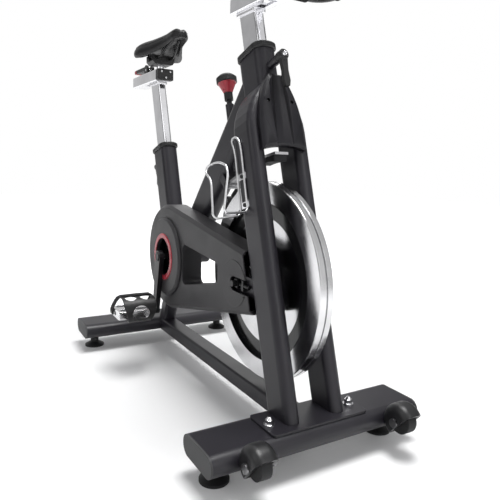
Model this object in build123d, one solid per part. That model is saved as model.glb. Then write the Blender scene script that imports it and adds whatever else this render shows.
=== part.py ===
"""Belt-driven indoor cycle with a front flywheel, built as an assembly of separate pieces.

Millimetres. X points forward, Y to the rider's left, Z up, and the floor is Z = 0.
Lengths along X are measured from the crank axis; crank_x moves them into the frame of
the part, whose origin is on the floor under the middle of its box.
"""

import math
import os

from build123d import *

# Overall layout, along X from the crank axis and up from the floor
crank_height = 346
front_stab_x = 618
rear_stab_x = -263
flywheel_x = 422
flywheel_height = 351
fork_rake = 17.4
seat_rake = 17.0
head_top_x = 350.3
head_top_z = 875
seat_top_x = -233.5
seat_top_z = 665
running_fit = 0.05
sliding_gap = 0.3

# Stabiliser tubes, feet and lower beam
stab_depth = 128
stab_height = 46
stab_bottom = 48
stab_corner = 22.5
stab_wall = 2.5
front_stab_length = 532
rear_stab_length = 560
end_cap_thickness = 4
end_cap_plug = 12
foot_radius = 31
foot_pad_height = 15
foot_neck_radius = 13
foot_stud_radius = 6
foot_inset = 46
front_foot_back = 14
rear_foot_back = 22
beam_width = 50
beam_height = 40
beam_corner = 6
beam_wall = 2.5
beam_bottom = 49

# Front mounting plate and its acorn nuts
plate_depth = 98
plate_width = 246
plate_thickness = 5
plate_corner = 8
nut_spread = 211
nut_x = 622
nut_radius = 9
washer_radius = 12
washer_thickness = 2

# Transport wheels under domed housings
wheel_x = 713
wheel_z = 82
wheel_radius = 28
wheel_width = 24
wheel_spread = 369
wheel_bore = 5
housing_radius = 40
housing_width = 54
housing_gap = 4
housing_bevel = 9
mouth_angle = 42
mouth_offset = 9

# Frame tubes
tube_depth = 100
tube_width = 54
tube_corner = 22
tube_wall = 2.5
head_length = 172
leg_depth = 84
leg_width = 36
leg_corner = 16
leg_wall = 2.5
leg_spread = 118
leg_forward = 12
leg_bend_radius = 127
leg_bend_start = 690
leg_bend_angle = 50
leg_bend_chords = 6
main_tube_angle = 48.2
main_tube_depth = 92
main_tube_width = 52
main_tube_corner = 20
main_tube_top_x = 357
main_tube_top_z = 794
strut_depth = 50
strut_width = 44
strut_corner = 12
strut_foot_x = -226
strut_top_x = -118
strut_top_z = 300
seat_tube_foot_z = 235

# Fork shroud between the tops of the legs
shroud_bottom_z = 668
shroud_top_z = 806
shroud_bulge = 17
shroud_wall = 3
shroud_half = 57
shroud_neck = 19
shroud_edge = 7
screw_spread = 62
screw_well_radius = 4

# Bottom bracket and crank
shell_radius = 25
shell_right = 36
shell_left = 48
shell_bore = 21
axle_radius = 8.5
axle_length = 216
bearing_width = 12
bearing_seat = 4
crank_length = 170
crank_angle = 10
crank_thickness = 14
crank_face = 114
crank_boss_radius = 19
crank_eye_radius = 15
crank_waist = 24

# Pedals with toe cages
pedal_length = 86
pedal_width = 100
pedal_height = 26
pedal_gap = 20
pedal_rim = 9
spindle_radius = 6
spindle_boss_radius = 12
cage_height = 58
cage_band = 3
cage_reach = 40
cage_hole_radius = 20
strap_width = 22

# Pulleys and belt
crank_pulley_radius = 94
small_pulley_radius = 28
belt_thickness = 4
belt_width = 16
belt_y = -48
pulley_flange = 2
pulley_gap = 0.3
spoke_count = 5
spoke_hole_radius = 19
spoke_circle = 56

# Flywheel on a fixed axle
flywheel_radius = 236
flywheel_width = 34
flywheel_rim_depth = 46
flywheel_web = 10
groove_width = 4
groove_depth = 5
hub_radius = 34
hub_width = 58
fly_axle_radius = 7.5
fly_axle_length = 184
fly_bearing_radius = 17.5
fly_bearing_width = 11
dropout_thickness = 7
dropout_height = 44
dropout_y = 68
axle_nut_radius = 12
axle_nut_height = 9
tension_bolt_radius = 4
tension_bolt_length = 46

# Drive cover on the right side
cover_radius = 155
cover_outer_y = -86
cover_inner_y = -29.5
cover_wall = 3
cover_edge = 9
cover_top_slope = 8.8
cover_bottom_slope = 12
cover_front_x = 481
inner_cover_thickness = 2.5
cover_disc_radius = 117
cover_disc_height = 10
cover_disc_bevel = 6
cover_hole_radius = 56
cover_ring_radius = 70
cover_ring_thickness = 2.5
window_rear_x = 122
window_front_x = 338
window_top_rear = 402
window_top_front = 384
window_bottom_rear = 284
window_bottom_front = 332
window_corner = 16
axle_slot_height = 34

# Adjustable posts, their collars and clamp levers
post_depth = 72
post_width = 26
post_corner = 7
post_wall = 2.5
collar_flange = 5
collar_height = 15
collar_depth = 60
seat_post_insert = 200
bar_post_insert = 110
boss_radius = 10
boss_length = 36
seat_boss_length = 16
lever_hub_radius = 12
lever_hub_length = 22
lever_drop = 72
lever_width = 15
lever_thickness = 11
lever_gap = 1
head_boss_z = 832
seat_boss_z = 634
clamp_screw_radius = 4

# Sliders for saddle and handlebar
slider_width = 54
slider_height = 36
slider_wall = 3
slider_corner = 4
seat_slider_z = 895
seat_slider_rear = -490
seat_slider_front = -254
seat_travel = 75
slider_cap_length = 24
slider_cap_plug = 10
neck_length = 54
neck_width = 18
seat_block_rear = -418
seat_block_front = -268
slider_lever_x = -392
slider_lever_rise = 17
slider_lever_length = 123
slider_lever_width = 26
slider_pin_radius = 4
slider_bolt_radius = 5
bar_slider_z = 985
bar_slider_rear = 262
bar_slider_front = 470
bar_travel = 75
bar_block_rear = 284
bar_block_front = 398
bar_lever_x = 372

# Saddle on its pin
saddle_pin_x = -282
saddle_pin_radius = 12.5
saddle_pin_height = 32
clamp_length = 62
clamp_width = 76
clamp_height = 28
clamp_drop = 5
rail_radius = 3.5
rail_spread = 44
saddle_rear = -362
saddle_length = 268
saddle_underside = 987
saddle_rear_width = 160
saddle_nose_width = 58
saddle_crown = 44
saddle_padding = 24

# Handlebar
bar_radius = 15
bar_x = 306
bar_z = 1056
bar_half_width = 222
bar_bend = 48
bar_side_length = 150
horn_rise = 72
horn_bend = 42
bracket_length = 52
bracket_width = 46
grip_radius = 18.5
grip_length = 104

# Resistance knob, push rod and brake
rod_x = 213
rod_z = 800
rod_radius = 7
guide_radius = 11
knob_radius = 27
knob_neck_radius = 11.5
knob_collar_radius = 23
knob_collar_foot = 8
knob_collar_top = 33
knob_height = 55
rod_end_z = 590
guide_start = 24
guide_length = 176
brake_pivot_x = 248
brake_pivot_z = 572
brake_pin_radius = 5
brake_arm_thickness = 6
brake_arm_width = 36
brake_knee_x = 395
brake_knee_z = 637
brake_toe_x = 472
brake_toe_z = 651.5
brake_pad_rear_x = 401
brake_pad_front_x = 468
brake_pad_width = 34
brake_swing = 13
brake_cheek = 4

# Bottle cage
wire_radius = 2.5
cage_foot_z = 530
cage_rail_height = 158
cage_rail_gap = 22
cage_stand_out = 78
cage_stand_height = 104
cage_front_spread = 50

# The part's origin lies midway between the wheel fronts and the saddle lever's tip
dome_edge = math.acos(mouth_offset / housing_radius) - math.radians(mouth_angle)
front_reach = wheel_x + max(wheel_radius, housing_radius * math.cos(dome_edge))
rear_reach = slider_lever_length - slider_lever_x
crank_x = (rear_reach - front_reach) / 2
stab_top = stab_bottom + stab_height
plate_top = stab_top + plate_thickness
rake = math.radians(fork_rake)
seat_lean = math.radians(seat_rake)


def at(x, y, z):
    """A place given by its distance from the crank axis, the middle plane and the floor."""
    return Pos(crank_x + x, y, z)


def raked_plane(x, y, z, lean):
    """A plane square to a leaning tube: local X forward, local Y left, local Z up the tube."""
    across = (math.cos(lean), 0, math.sin(lean))
    along = (-math.sin(lean), 0, math.cos(lean))
    return Plane(origin=(crank_x + x, y, z), x_dir=across, z_dir=along)


def side_plane(y):
    """A plane facing the rider's right, with local X forward and local Y up."""
    return Plane(origin=(crank_x, y, 0), x_dir=(1, 0, 0), z_dir=(0, -1, 0))


def oval(depth, width, corner):
    """Section of a flat-oval tube."""
    return RectangleRounded(depth, width, corner)


def oval_tube(plane, depth, width, corner, wall, length):
    """A hollow flat-oval tube that starts at a plane."""
    outer = oval(depth, width, corner)
    inner = oval(depth - 2 * wall, width - 2 * wall, corner - wall)
    return extrude(plane * (outer - inner), length)


def oval_bar(plane, depth, width, corner, length):
    """The filled outline of a flat-oval tube, used to cut what is welded to it."""
    return extrude(plane * oval(depth, width, corner), length)


def disc_y(radius, length):
    """A cylinder along Y, centred on its place."""
    return Rot(90, 0, 0) * Cylinder(radius, length)


def cylinder_y(x, y, z, radius, length):
    """A cylinder along Y at a place measured from the crank axis."""
    return at(x, y, z) * disc_y(radius, length)


def mirrored(solid):
    """The same solid on the other side of the middle plane."""
    return mirror(solid, about=Plane.XZ)


def head_x(z):
    """Distance of the head tube's axis from the crank at a height."""
    return head_top_x - (z - head_top_z) * math.tan(rake)


def seat_x(z):
    """Distance of the seat tube's axis from the crank at a height."""
    return seat_top_x - (z - seat_top_z) * math.tan(seat_lean)


nodes = {}


# Stabilisers: flat-oval tubes across the floor, plugged at the ends, on levelling feet
def stabiliser(x, length, foot_x):
    """One stabiliser tube with its foot holes, and its filled outline."""
    start = (crank_x + x, -length / 2, stab_bottom + stab_height / 2)
    across = Plane(origin=start, x_dir=(1, 0, 0), z_dir=(0, 1, 0))
    inside = across.offset(end_cap_thickness)
    inner_length = length - 2 * end_cap_thickness
    tube = oval_tube(inside, stab_depth, stab_height, stab_corner, stab_wall, inner_length)
    outline = oval_bar(across, stab_depth, stab_height, stab_corner, length)
    for side in (-1, 1):
        stud_hole = Cylinder(foot_stud_radius, 4 * stab_wall)
        tube -= at(foot_x, side * (length / 2 - foot_inset), stab_bottom) * stud_hole
    return tube, outline


def end_cap(x, length, side):
    """A cap that closes one end of a stabiliser."""
    end = (crank_x + x, side * length / 2, stab_bottom + stab_height / 2)
    face = Plane(origin=end, x_dir=(1, 0, 0), z_dir=(0, -side, 0))
    plug_gap = stab_wall + sliding_gap
    cap = extrude(face * oval(stab_depth, stab_height, stab_corner), end_cap_thickness)
    plug = oval(stab_depth - 2 * plug_gap, stab_height - 2 * plug_gap, stab_corner - plug_gap)
    return cap + extrude(face * plug, end_cap_thickness + end_cap_plug)


def levelling_foot(x, y):
    """A moulded foot with its threaded stud."""
    with BuildSketch(Plane.XZ) as profile:
        with BuildLine():
            Polyline((0, 0), (foot_radius, 0), (foot_radius, 5), (foot_neck_radius, foot_pad_height))
            Polyline(
                (foot_neck_radius, foot_pad_height),
                (foot_neck_radius, stab_bottom),
                (foot_stud_radius, stab_bottom),
                (foot_stud_radius, stab_bottom + 4 * stab_wall),
                (0, stab_bottom + 4 * stab_wall),
                (0, 0),
            )
        make_face()
    return at(x, y, 0) * revolve(profile.sketch, Axis.Z)


front_foot_x = front_stab_x - front_foot_back
rear_foot_x = rear_stab_x - rear_foot_back
nodes["front_stabilizer"], front_outline = stabiliser(front_stab_x, front_stab_length, front_foot_x)
nodes["rear_stabilizer"], rear_outline = stabiliser(rear_stab_x, rear_stab_length, rear_foot_x)
nodes["stabilizer_end_caps"] = Compound([
    end_cap(x, length, side)
    for x, length in ((front_stab_x, front_stab_length), (rear_stab_x, rear_stab_length))
    for side in (-1, 1)
])
nodes["levelling_feet"] = Compound([
    levelling_foot(x, side * (length / 2 - foot_inset))
    for x, length in ((front_foot_x, front_stab_length), (rear_foot_x, rear_stab_length))
    for side in (-1, 1)
])

# Lower beam: a box tube welded between the stabilisers
beam_plane = Plane(
    origin=(crank_x + rear_stab_x, 0, beam_bottom + beam_height / 2), x_dir=(0, 1, 0), z_dir=(1, 0, 0)
)
beam_length = front_stab_x - rear_stab_x
lower_beam = oval_tube(beam_plane, beam_width, beam_height, beam_corner, beam_wall, beam_length)
nodes["lower_beam"] = lower_beam - front_outline - rear_outline
beam_outline = oval_bar(beam_plane, beam_width, beam_height, beam_corner, beam_length)
beam_top = beam_bottom + beam_height

# Front plate: welded under the fork legs and bolted down on the stabiliser
plate_sketch = RectangleRounded(plate_depth, plate_width, plate_corner)
nodes["front_mount_plate"] = at(front_stab_x, 0, stab_top) * extrude(plate_sketch, plate_thickness)


def acorn_nut(y):
    """A domed nut on its washer."""
    washer = Cylinder(washer_radius, washer_thickness, align=(Align.CENTER, Align.CENTER, Align.MIN))
    hexagon = extrude(RegularPolygon(nut_radius, 6), nut_radius)
    dome = Pos(0, 0, 1.35 * nut_radius) * Cone(0.8 * nut_radius, 0.35 * nut_radius, 0.7 * nut_radius)
    nut = Pos(0, 0, washer_thickness) * (hexagon + dome)
    return at(nut_x, y, plate_top) * (washer + nut)


def wheel_bolt(y):
    """A through bolt that carries one transport wheel, with a round head at each end."""
    shank = cylinder_y(wheel_x, y, wheel_z, wheel_bore, housing_width)
    heads = [
        cylinder_y(wheel_x, y + side * (housing_width / 2 + 2.5), wheel_z, 2 * wheel_bore, 5)
        for side in (-1, 1)
    ]
    return shank + heads[0] + heads[1]


nodes["base_fasteners"] = Compound(
    [acorn_nut(side * nut_spread / 2) for side in (-1, 1)]
    + [wheel_bolt(side * wheel_spread / 2) for side in (-1, 1)]
)


# Transport wheels: rubber tyres on through bolts, inside domed housings
def wheel_housing(y):
    """A dome over the top and back of one wheel, open below and in front."""
    drum = chamfer(disc_y(housing_radius, housing_width).edges(), housing_bevel)
    well = disc_y(wheel_radius + housing_gap, wheel_width + 2 * housing_gap)
    block = Box(2 * housing_radius, 2 * housing_width, 4 * housing_radius)
    mouth = Rot(0, mouth_angle, 0) * Pos(housing_radius + mouth_offset, 0, 0) * block
    bolt_hole = disc_y(wheel_bore, 2 * housing_width)
    return at(wheel_x, y, wheel_z) * (drum - well - mouth - bolt_hole) - front_outline


def transport_wheel(y):
    """A tyre with a bore that runs on the bolt."""
    tyre = cylinder_y(wheel_x, y, wheel_z, wheel_radius, wheel_width)
    return tyre - cylinder_y(wheel_x, y, wheel_z, wheel_bore + running_fit, 2 * housing_width)


nodes["wheel_housings"] = Compound([wheel_housing(side * wheel_spread / 2) for side in (-1, 1)])
nodes["transport_wheel_right"] = transport_wheel(-wheel_spread / 2)
nodes["transport_wheel_left"] = transport_wheel(wheel_spread / 2)

# Head tube: flat-oval, leaning back with the fork
head_foot_z = head_top_z - head_length * math.cos(rake)
head_plane = raked_plane(head_x(head_foot_z), 0, head_foot_z, rake)
head_tube = oval_tube(head_plane, tube_depth, tube_width, tube_corner, tube_wall, head_length)
head_outline = oval_bar(head_plane, tube_depth, tube_width, tube_corner, head_length)

# Axle dropouts: plates welded to the back of each leg, slotted for the flywheel axle
dropout_top_x = head_x(flywheel_height) + leg_forward
dropout_reach = dropout_top_x - flywheel_x


def dropout(side):
    """A rear-facing plate with a rounded nose and an axle slot."""
    tail = dropout_height / 2
    nose = cylinder_y(flywheel_x, side * dropout_y, flywheel_height, tail, dropout_thickness)
    arm = at(flywheel_x + dropout_reach / 2, side * dropout_y, flywheel_height) * Box(
        dropout_reach, dropout_thickness, dropout_height
    )
    deep = 2 * dropout_thickness
    hole = cylinder_y(flywheel_x, side * dropout_y, flywheel_height, fly_axle_radius, deep)
    return nose + arm - hole


# Fork legs: flat-oval tubes that stand on the plate and arch inwards onto the head tube
def leg_body(side, inset):
    """One leg's outline, drawn in by an inset; its bend turns in short chords."""
    start = raked_plane(head_x(leg_bend_start) + leg_forward, side * leg_spread / 2, leg_bend_start, rake)
    below = (leg_bend_start - stab_top) / math.cos(rake) + leg_depth
    foot = start.offset(-below)
    path = [foot.origin]
    for i in range(leg_bend_chords + 1):
        turn = math.radians(leg_bend_angle) * i / leg_bend_chords
        inwards = Vector(0, -side * leg_bend_radius * (1 - math.cos(turn)), 0)
        path.append(start.origin + inwards + start.z_dir * (leg_bend_radius * math.sin(turn)))
    section = oval(leg_depth - 2 * inset, leg_width - 2 * inset, leg_corner - inset)
    line = Wire.make_polygon(path, close=False)
    return sweep(foot * section, path=line, transition=Transition.RIGHT)


def fork_leg(side):
    """One hollow leg, cut to the plate and to the head tube, with its axle dropout."""
    floor = at(front_stab_x, 0, plate_top - 300) * Box(600, 600, 600)
    leg = leg_body(side, 0) - leg_body(side, leg_wall) - floor - head_outline
    middle = Box(4000, 4000, 4000, align=(Align.CENTER, Align.MIN, Align.CENTER))
    kept = middle if side > 0 else mirrored(middle)
    lug = dropout(side) - leg_body(side, 0)
    return (leg & kept) + lug


nodes["head_tube"] = head_tube
nodes["fork_leg_right"] = fork_leg(-1)
nodes["fork_leg_left"] = fork_leg(1)

# Seat tube: the same flat-oval tube, leaning back behind the crank
seat_length = (seat_top_z - seat_tube_foot_z) / math.cos(seat_lean)
seat_plane = raked_plane(seat_x(seat_tube_foot_z), 0, seat_tube_foot_z, seat_lean)
nodes["seat_tube"] = oval_tube(seat_plane, tube_depth, tube_width, tube_corner, tube_wall, seat_length)
seat_outline = oval_bar(seat_plane, tube_depth, tube_width, tube_corner, seat_length)

# Bottom bracket shell: a short round tube across the frame
shell_middle = (shell_left - shell_right) / 2
shell_length = shell_left + shell_right
shell_outline = cylinder_y(0, shell_middle, crank_height, shell_radius, shell_length)
shell_core = cylinder_y(0, shell_middle, crank_height, shell_bore, shell_length)
nodes["bottom_bracket_shell"] = shell_outline - shell_core

# Main tube: from the head tube down to the bottom bracket and the seat tube
main_lean = math.radians(90 - main_tube_angle)
main_plane = Plane(
    origin=(crank_x + main_tube_top_x, 0, main_tube_top_z),
    x_dir=(math.cos(main_lean), 0, -math.sin(main_lean)),
    z_dir=(-math.sin(main_lean), 0, -math.cos(main_lean)),
)
main_run = main_tube_top_x - seat_x(main_tube_top_z) - tube_depth / 5
main_length = main_run / (math.sin(main_lean) + math.cos(main_lean) * math.tan(seat_lean))
rod_plane = raked_plane(rod_x, 0, rod_z, rake)
rod_length = (rod_z - rod_end_z) / math.cos(rake)
guide_foot = rod_plane.offset(-guide_start - guide_length)
guide = extrude(guide_foot * Circle(guide_radius), guide_length)
rod_hole = extrude(rod_plane * Circle(rod_radius + running_fit), -rod_length)
main_outline = oval_bar(main_plane, main_tube_depth, main_tube_width, main_tube_corner, main_length)
main_core = oval_bar(
    main_plane.offset(-20), main_tube_depth - 2 * tube_wall, main_tube_width - 2 * tube_wall,
    main_tube_corner - tube_wall, main_length + 40,
)
main_tube = main_outline - head_outline - seat_outline - shell_outline - leg_body(1, 0) - leg_body(-1, 0)
nodes["main_tube"] = main_tube - main_core + guide - rod_hole

# Rear strut: from the lower beam up to the foot of the seat tube
strut_foot = Vector(crank_x + strut_foot_x, 0, beam_top - strut_depth)
strut_top = Vector(crank_x + strut_top_x, 0, strut_top_z)
strut_plane = Plane(origin=strut_foot, x_dir=(0, 1, 0), z_dir=strut_top - strut_foot)
strut_length = (strut_top - strut_foot).length
strut = oval_tube(strut_plane, strut_width, strut_depth, strut_corner, tube_wall, strut_length)
under_beam = Box(4000, 4000, 2 * (beam_top - stab_wall), align=(Align.CENTER, Align.CENTER, Align.CENTER))
nodes["rear_strut"] = strut - seat_outline - beam_outline - rear_outline - under_beam - main_outline


# Clamp bosses: threaded studs on the tubes, where the clamp levers screw in
def boss_plane(middle, face, way):
    """Plane at a boss's foot, with its normal out of the tube."""
    origin = middle.origin + middle.x_dir * (way * face)
    return Plane(origin=origin, x_dir=(0, 1, 0), z_dir=middle.x_dir * way)


head_clamp = boss_plane(raked_plane(head_x(head_boss_z), 0, head_boss_z, rake), tube_depth / 2, 1)
seat_clamp = boss_plane(raked_plane(seat_x(seat_boss_z), 0, seat_boss_z, seat_lean), tube_depth / 2, -1)


def with_boss(tube, plane, length):
    """A tube with a bored boss on it."""
    boss = extrude(plane.offset(-tube_wall) * Circle(boss_radius), length + tube_wall)
    thread = Circle(clamp_screw_radius + running_fit)
    bore = extrude(plane.offset(-tube_depth / 4) * thread, length + tube_depth)
    return tube + boss - bore


nodes["head_tube"] = with_boss(nodes["head_tube"], head_clamp, boss_length)
nodes["seat_tube"] = with_boss(nodes["seat_tube"], seat_clamp, seat_boss_length)


# Collars: plastic bushes that line the tube tops and guide the posts
def collar(top, clamp):
    """A flanged bush with a hole for its post and for the clamp screw."""
    lip = collar_flange
    rim = oval(tube_depth + 2 * lip, tube_width + 2 * lip, tube_corner + lip)
    bush = extrude(top * rim, collar_height)
    bush = chamfer(bush.faces().sort_by(Axis.Z)[-1].edges(), 3)
    play = tube_wall + sliding_gap
    sleeve = oval(tube_depth - 2 * play, tube_width - 2 * play, tube_corner - play)
    bush += extrude(top * sleeve, -collar_depth)
    hole = oval(post_depth + 2 * sliding_gap, post_width + 2 * sliding_gap, post_corner + sliding_gap)
    bush -= extrude(top.offset(-2 * collar_depth) * hole, 4 * collar_depth)
    screw_hole = Circle(clamp_screw_radius + sliding_gap)
    return bush - extrude(clamp.offset(-tube_depth / 2) * screw_hole, tube_depth)


head_top = raked_plane(head_top_x, 0, head_top_z, rake)
seat_top = raked_plane(seat_top_x, 0, seat_top_z, seat_lean)
nodes["post_collars"] = Compound([collar(head_top, head_clamp), collar(seat_top, seat_clamp)])


# Clamp levers: a screw with a hub and a hanging handle
def clamp_lever(plane, length):
    """A hub on a clamp screw with a tapered handle that hangs down."""
    reach = (tube_depth - post_depth) / 2 - sliding_gap
    screw = extrude(plane.offset(-reach) * Circle(clamp_screw_radius), reach + length + lever_gap + 4)
    hub = extrude(plane.offset(length + lever_gap) * Circle(lever_hub_radius), lever_hub_length)
    hub = chamfer(hub.edges().filter_by(GeomType.CIRCLE), 2)
    down = plane.y_dir if plane.y_dir.Z < 0 else -plane.y_dir
    top = plane.offset(length + lever_gap + lever_hub_length - lever_thickness / 2 - 2).origin
    drop = Plane(origin=top, x_dir=(0, 1, 0), z_dir=down)
    outline = Polygon(
        (-0.6 * lever_width, 0), (0.6 * lever_width, 0), (0.4 * lever_width, 0.5 * lever_drop),
        (0.55 * lever_width, 0.82 * lever_drop), (0.35 * lever_width, lever_drop),
        (-0.35 * lever_width, lever_drop), (-0.55 * lever_width, 0.82 * lever_drop),
        (-0.4 * lever_width, 0.5 * lever_drop), align=None,
    )
    flat = Plane(origin=top, x_dir=drop.x_dir, z_dir=-drop.x_dir.cross(-drop.z_dir))
    handle = extrude(flat * outline, lever_thickness / 2, both=True)
    return screw + hub + handle


nodes["bar_post_lever"] = clamp_lever(head_clamp, boss_length)
nodes["seat_post_lever"] = clamp_lever(seat_clamp, seat_boss_length)

# Fork shroud: a plastic shell in the arch between the tops of the legs
shroud_plane = raked_plane(head_x(shroud_bottom_z), 0, shroud_bottom_z, rake)
shroud_rise = (shroud_top_z - shroud_bottom_z) / math.cos(rake)
shroud_face = Plane(
    origin=shroud_plane.origin + shroud_plane.x_dir * (tube_depth / 2 + sliding_gap),
    x_dir=(0, 1, 0),
    z_dir=shroud_plane.x_dir,
)


def shroud_shape(inset):
    """Front outline of the shroud: a pointed arch over the legs with a raised lower edge."""
    half, rise = shroud_half - inset, shroud_rise - inset
    neck, knee = shroud_neck - inset, 0.12 * shroud_rise
    with BuildSketch() as shape:
        with BuildLine():
            Line((-half, inset), (-half, knee))
            ThreePointArc((-half, knee), (-0.80 * half, 0.62 * rise), (-neck, rise))
            Line((-neck, rise), (neck, rise))
            ThreePointArc((neck, rise), (0.80 * half, 0.62 * rise), (half, knee))
            Line((half, knee), (half, inset))
            ThreePointArc((half, inset), (0, inset + 10), (-half, inset))
        make_face()
    return shape.sketch


shroud_depth = leg_forward + leg_depth / 2 - tube_depth / 2 + shroud_bulge
if shroud_face.y_dir.Z < 0:
    shroud_face = Plane(origin=shroud_face.origin, x_dir=(0, -1, 0), z_dir=shroud_plane.x_dir)
shroud = extrude(shroud_face * shroud_shape(0), shroud_depth)
shroud_axis = Axis(shroud_face.origin, shroud_face.z_dir)
shroud = chamfer(shroud.faces().sort_by(shroud_axis)[-1].edges(), shroud_edge)
shroud -= extrude(shroud_face * shroud_shape(shroud_wall), shroud_depth - 2 * shroud_wall)
panel = Polygon(
    (-0.42 * shroud_half, -20), (0.42 * shroud_half, -20), (0.6 * shroud_neck, shroud_rise + 20),
    (-0.6 * shroud_neck, shroud_rise + 20), align=None,
)
shroud -= extrude(shroud_face.offset(shroud_depth - shroud_wall) * panel, 2 * shroud_wall)
for way in (-1, 1):
    screw_spot = Pos(way * screw_spread / 2, 0.55 * shroud_rise)
    shroud -= extrude(shroud_face * screw_spot * Circle(screw_well_radius), 2 * shroud_depth)
nodes["fork_shroud"] = shroud - leg_body(1, 0) - leg_body(-1, 0)


# Crank: axle, arms and pulley turn together in two bearings
def crank_end(side):
    """Place of one pedal spindle; the right arm hangs down and a little back."""
    turn = math.radians(crank_angle)
    return side * crank_length * math.sin(turn), crank_height + side * crank_length * math.cos(turn)


def crank_arm(side):
    """A tapered arm with a boss for the axle and an eye for the pedal."""
    foot_x, foot_z = crank_end(side)
    y = side * (crank_face - crank_thickness / 2)
    along = Vector(foot_x, 0, foot_z - crank_height).normalized()
    middle = Vector(crank_x, side * (crank_face - crank_thickness), crank_height)
    plane = Plane(origin=middle, x_dir=along, z_dir=(0, side, 0))
    half = crank_waist / 2
    lug = crank_boss_radius - 2
    outline = Polygon((0, -lug), (crank_length, -half), (crank_length, half), (0, lug), align=None)
    outline += Circle(crank_boss_radius) + Pos(crank_length, 0) * Circle(crank_eye_radius)
    arm = extrude(plane * outline, crank_thickness)
    arm -= cylinder_y(0, y, crank_height, axle_radius, 2 * crank_thickness)
    return arm - cylinder_y(foot_x, y, foot_z, spindle_radius, 2 * crank_thickness)


nodes["crank_axle"] = cylinder_y(0, 0, crank_height, axle_radius, axle_length)
nodes["crank_arm_right"] = crank_arm(-1)
nodes["crank_arm_left"] = crank_arm(1)


def ring_y(x, y, z, outer, inner, length):
    """A ring along Y."""
    return cylinder_y(x, y, z, outer, length) - cylinder_y(x, y, z, inner, 2 * length)


nodes["crank_bearings"] = Compound([
    ring_y(0, y, crank_height, shell_bore, axle_radius + running_fit, bearing_width)
    for y in (shell_left - bearing_width / 2, -shell_right + bearing_width / 2)
])


# Pedals: aluminium platforms on spindles, with plastic toe cages and straps
def pedal_part(side, solid):
    """Moves a pedal piece, made for the right side at the origin, to its spindle."""
    foot_x, foot_z = crank_end(side)
    return at(foot_x, 0, foot_z) * (mirrored(solid) if side > 0 else solid)


pedal_middle = -(crank_face + pedal_gap + pedal_width / 2)


def pedal_body():
    """A platform with two lightening slots and a bore for the spindle."""
    body = Pos(0, pedal_middle, 0) * Box(pedal_length, pedal_width, pedal_height)
    body = fillet(body.edges().filter_by(Axis.Y), 6)
    slot_length = pedal_length / 2 - spindle_boss_radius - pedal_rim
    for way in (-1, 1):
        for part in (-1, 1):
            slot = Box(slot_length, pedal_width / 2 - 1.5 * pedal_rim, 2 * pedal_height)
            x = way * (spindle_boss_radius + slot_length / 2)
            body -= Pos(x, pedal_middle + part * (pedal_width / 4 - pedal_rim / 4), 0) * slot
    boss = Pos(0, pedal_middle + pedal_width / 2 + 4, 0) * disc_y(spindle_boss_radius, 8)
    bore = disc_y(spindle_radius + running_fit, pedal_width + 2 * pedal_rim)
    bore = Pos(0, pedal_middle + pedal_rim, 0) * bore
    return body + boss - bore


def toe_cage():
    """A curved toe clip in front of the pedal and a strap round its sides."""
    front = pedal_length / 2
    low = -pedal_height / 2
    heel = -spindle_boss_radius - 6
    with BuildSketch(Plane.XZ) as clip:
        with BuildLine() as line:
            Line((front, low), (front + 8, low))
            ThreePointArc(
                (front + 8, low), (front + cage_reach, 0.3 * cage_height), (front - 4, cage_height - 6)
            )
            Line((front - 4, cage_height - 6), (heel, cage_height))
            Line((heel, cage_height), (heel, cage_height - cage_band))
            Line((heel, cage_height - cage_band), (front - 5, cage_height - 6 - cage_band))
            ThreePointArc(
                (front - 5, cage_height - 6 - cage_band),
                (front + cage_reach - cage_band, 0.3 * cage_height),
                (front + 7, low + cage_band),
            )
            Line((front + 7, low + cage_band), (front, low + cage_band))
            Line((front, low + cage_band), (front, low))
        make_face()
    wide = 0.8 * pedal_width
    shell = Pos(0, pedal_middle, 0) * extrude(clip.sketch, wide / 2, both=True)
    hole = Pos(front + cage_reach / 2, pedal_middle, 0.3 * cage_height) * Rot(0, 90, 0)
    shell -= hole * Cylinder(cage_hole_radius, 2 * cage_reach)
    leaf = extrude(SlotOverall(0.5 * front, 12), 30, both=True)
    for way in (-1, 1):
        shell -= Pos(0.45 * front, pedal_middle + way * 0.22 * pedal_width, cage_height) * leaf
    inner = pedal_width
    tall = cage_height - cage_band - low
    strap_front = spindle_boss_radius + 1
    arch = 0.3 * inner
    foot = Pos(0, -tall / 4) * Rectangle(inner, tall / 2)
    foot_outer = Rectangle(inner + 2 * cage_band, tall / 2 + cage_band)
    foot_outer = Pos(0, -tall / 4 - cage_band / 2) * foot_outer
    band = RectangleRounded(inner + 2 * cage_band, tall + 2 * cage_band, arch + cage_band) + foot_outer
    band -= RectangleRounded(inner, tall, arch) + foot
    strap_start = (-strap_width - strap_front, pedal_middle, low + tall / 2)
    strap_plane = Plane(origin=strap_start, x_dir=(0, 1, 0), z_dir=(1, 0, 0))
    strap = extrude(strap_plane * band, strap_width)
    return shell + strap


pedal_solid = pedal_body()
cage_solid = toe_cage()
nodes["pedal_right"] = pedal_part(-1, pedal_solid)
nodes["pedal_left"] = pedal_part(1, pedal_solid)
nodes["toe_cage_right"] = pedal_part(-1, cage_solid)
nodes["toe_cage_left"] = pedal_part(1, cage_solid)
spindle_length = crank_thickness + pedal_gap + pedal_width - pedal_rim
spindle_y = -(crank_face - crank_thickness + spindle_length / 2)
spindle = Pos(0, spindle_y, 0) * disc_y(spindle_radius, spindle_length)
spindle += Pos(0, -crank_face - 2, 0) * disc_y(1.6 * spindle_radius, 4)
nodes["pedal_spindles"] = Compound([pedal_part(-1, spindle), pedal_part(1, spindle)])


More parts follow.
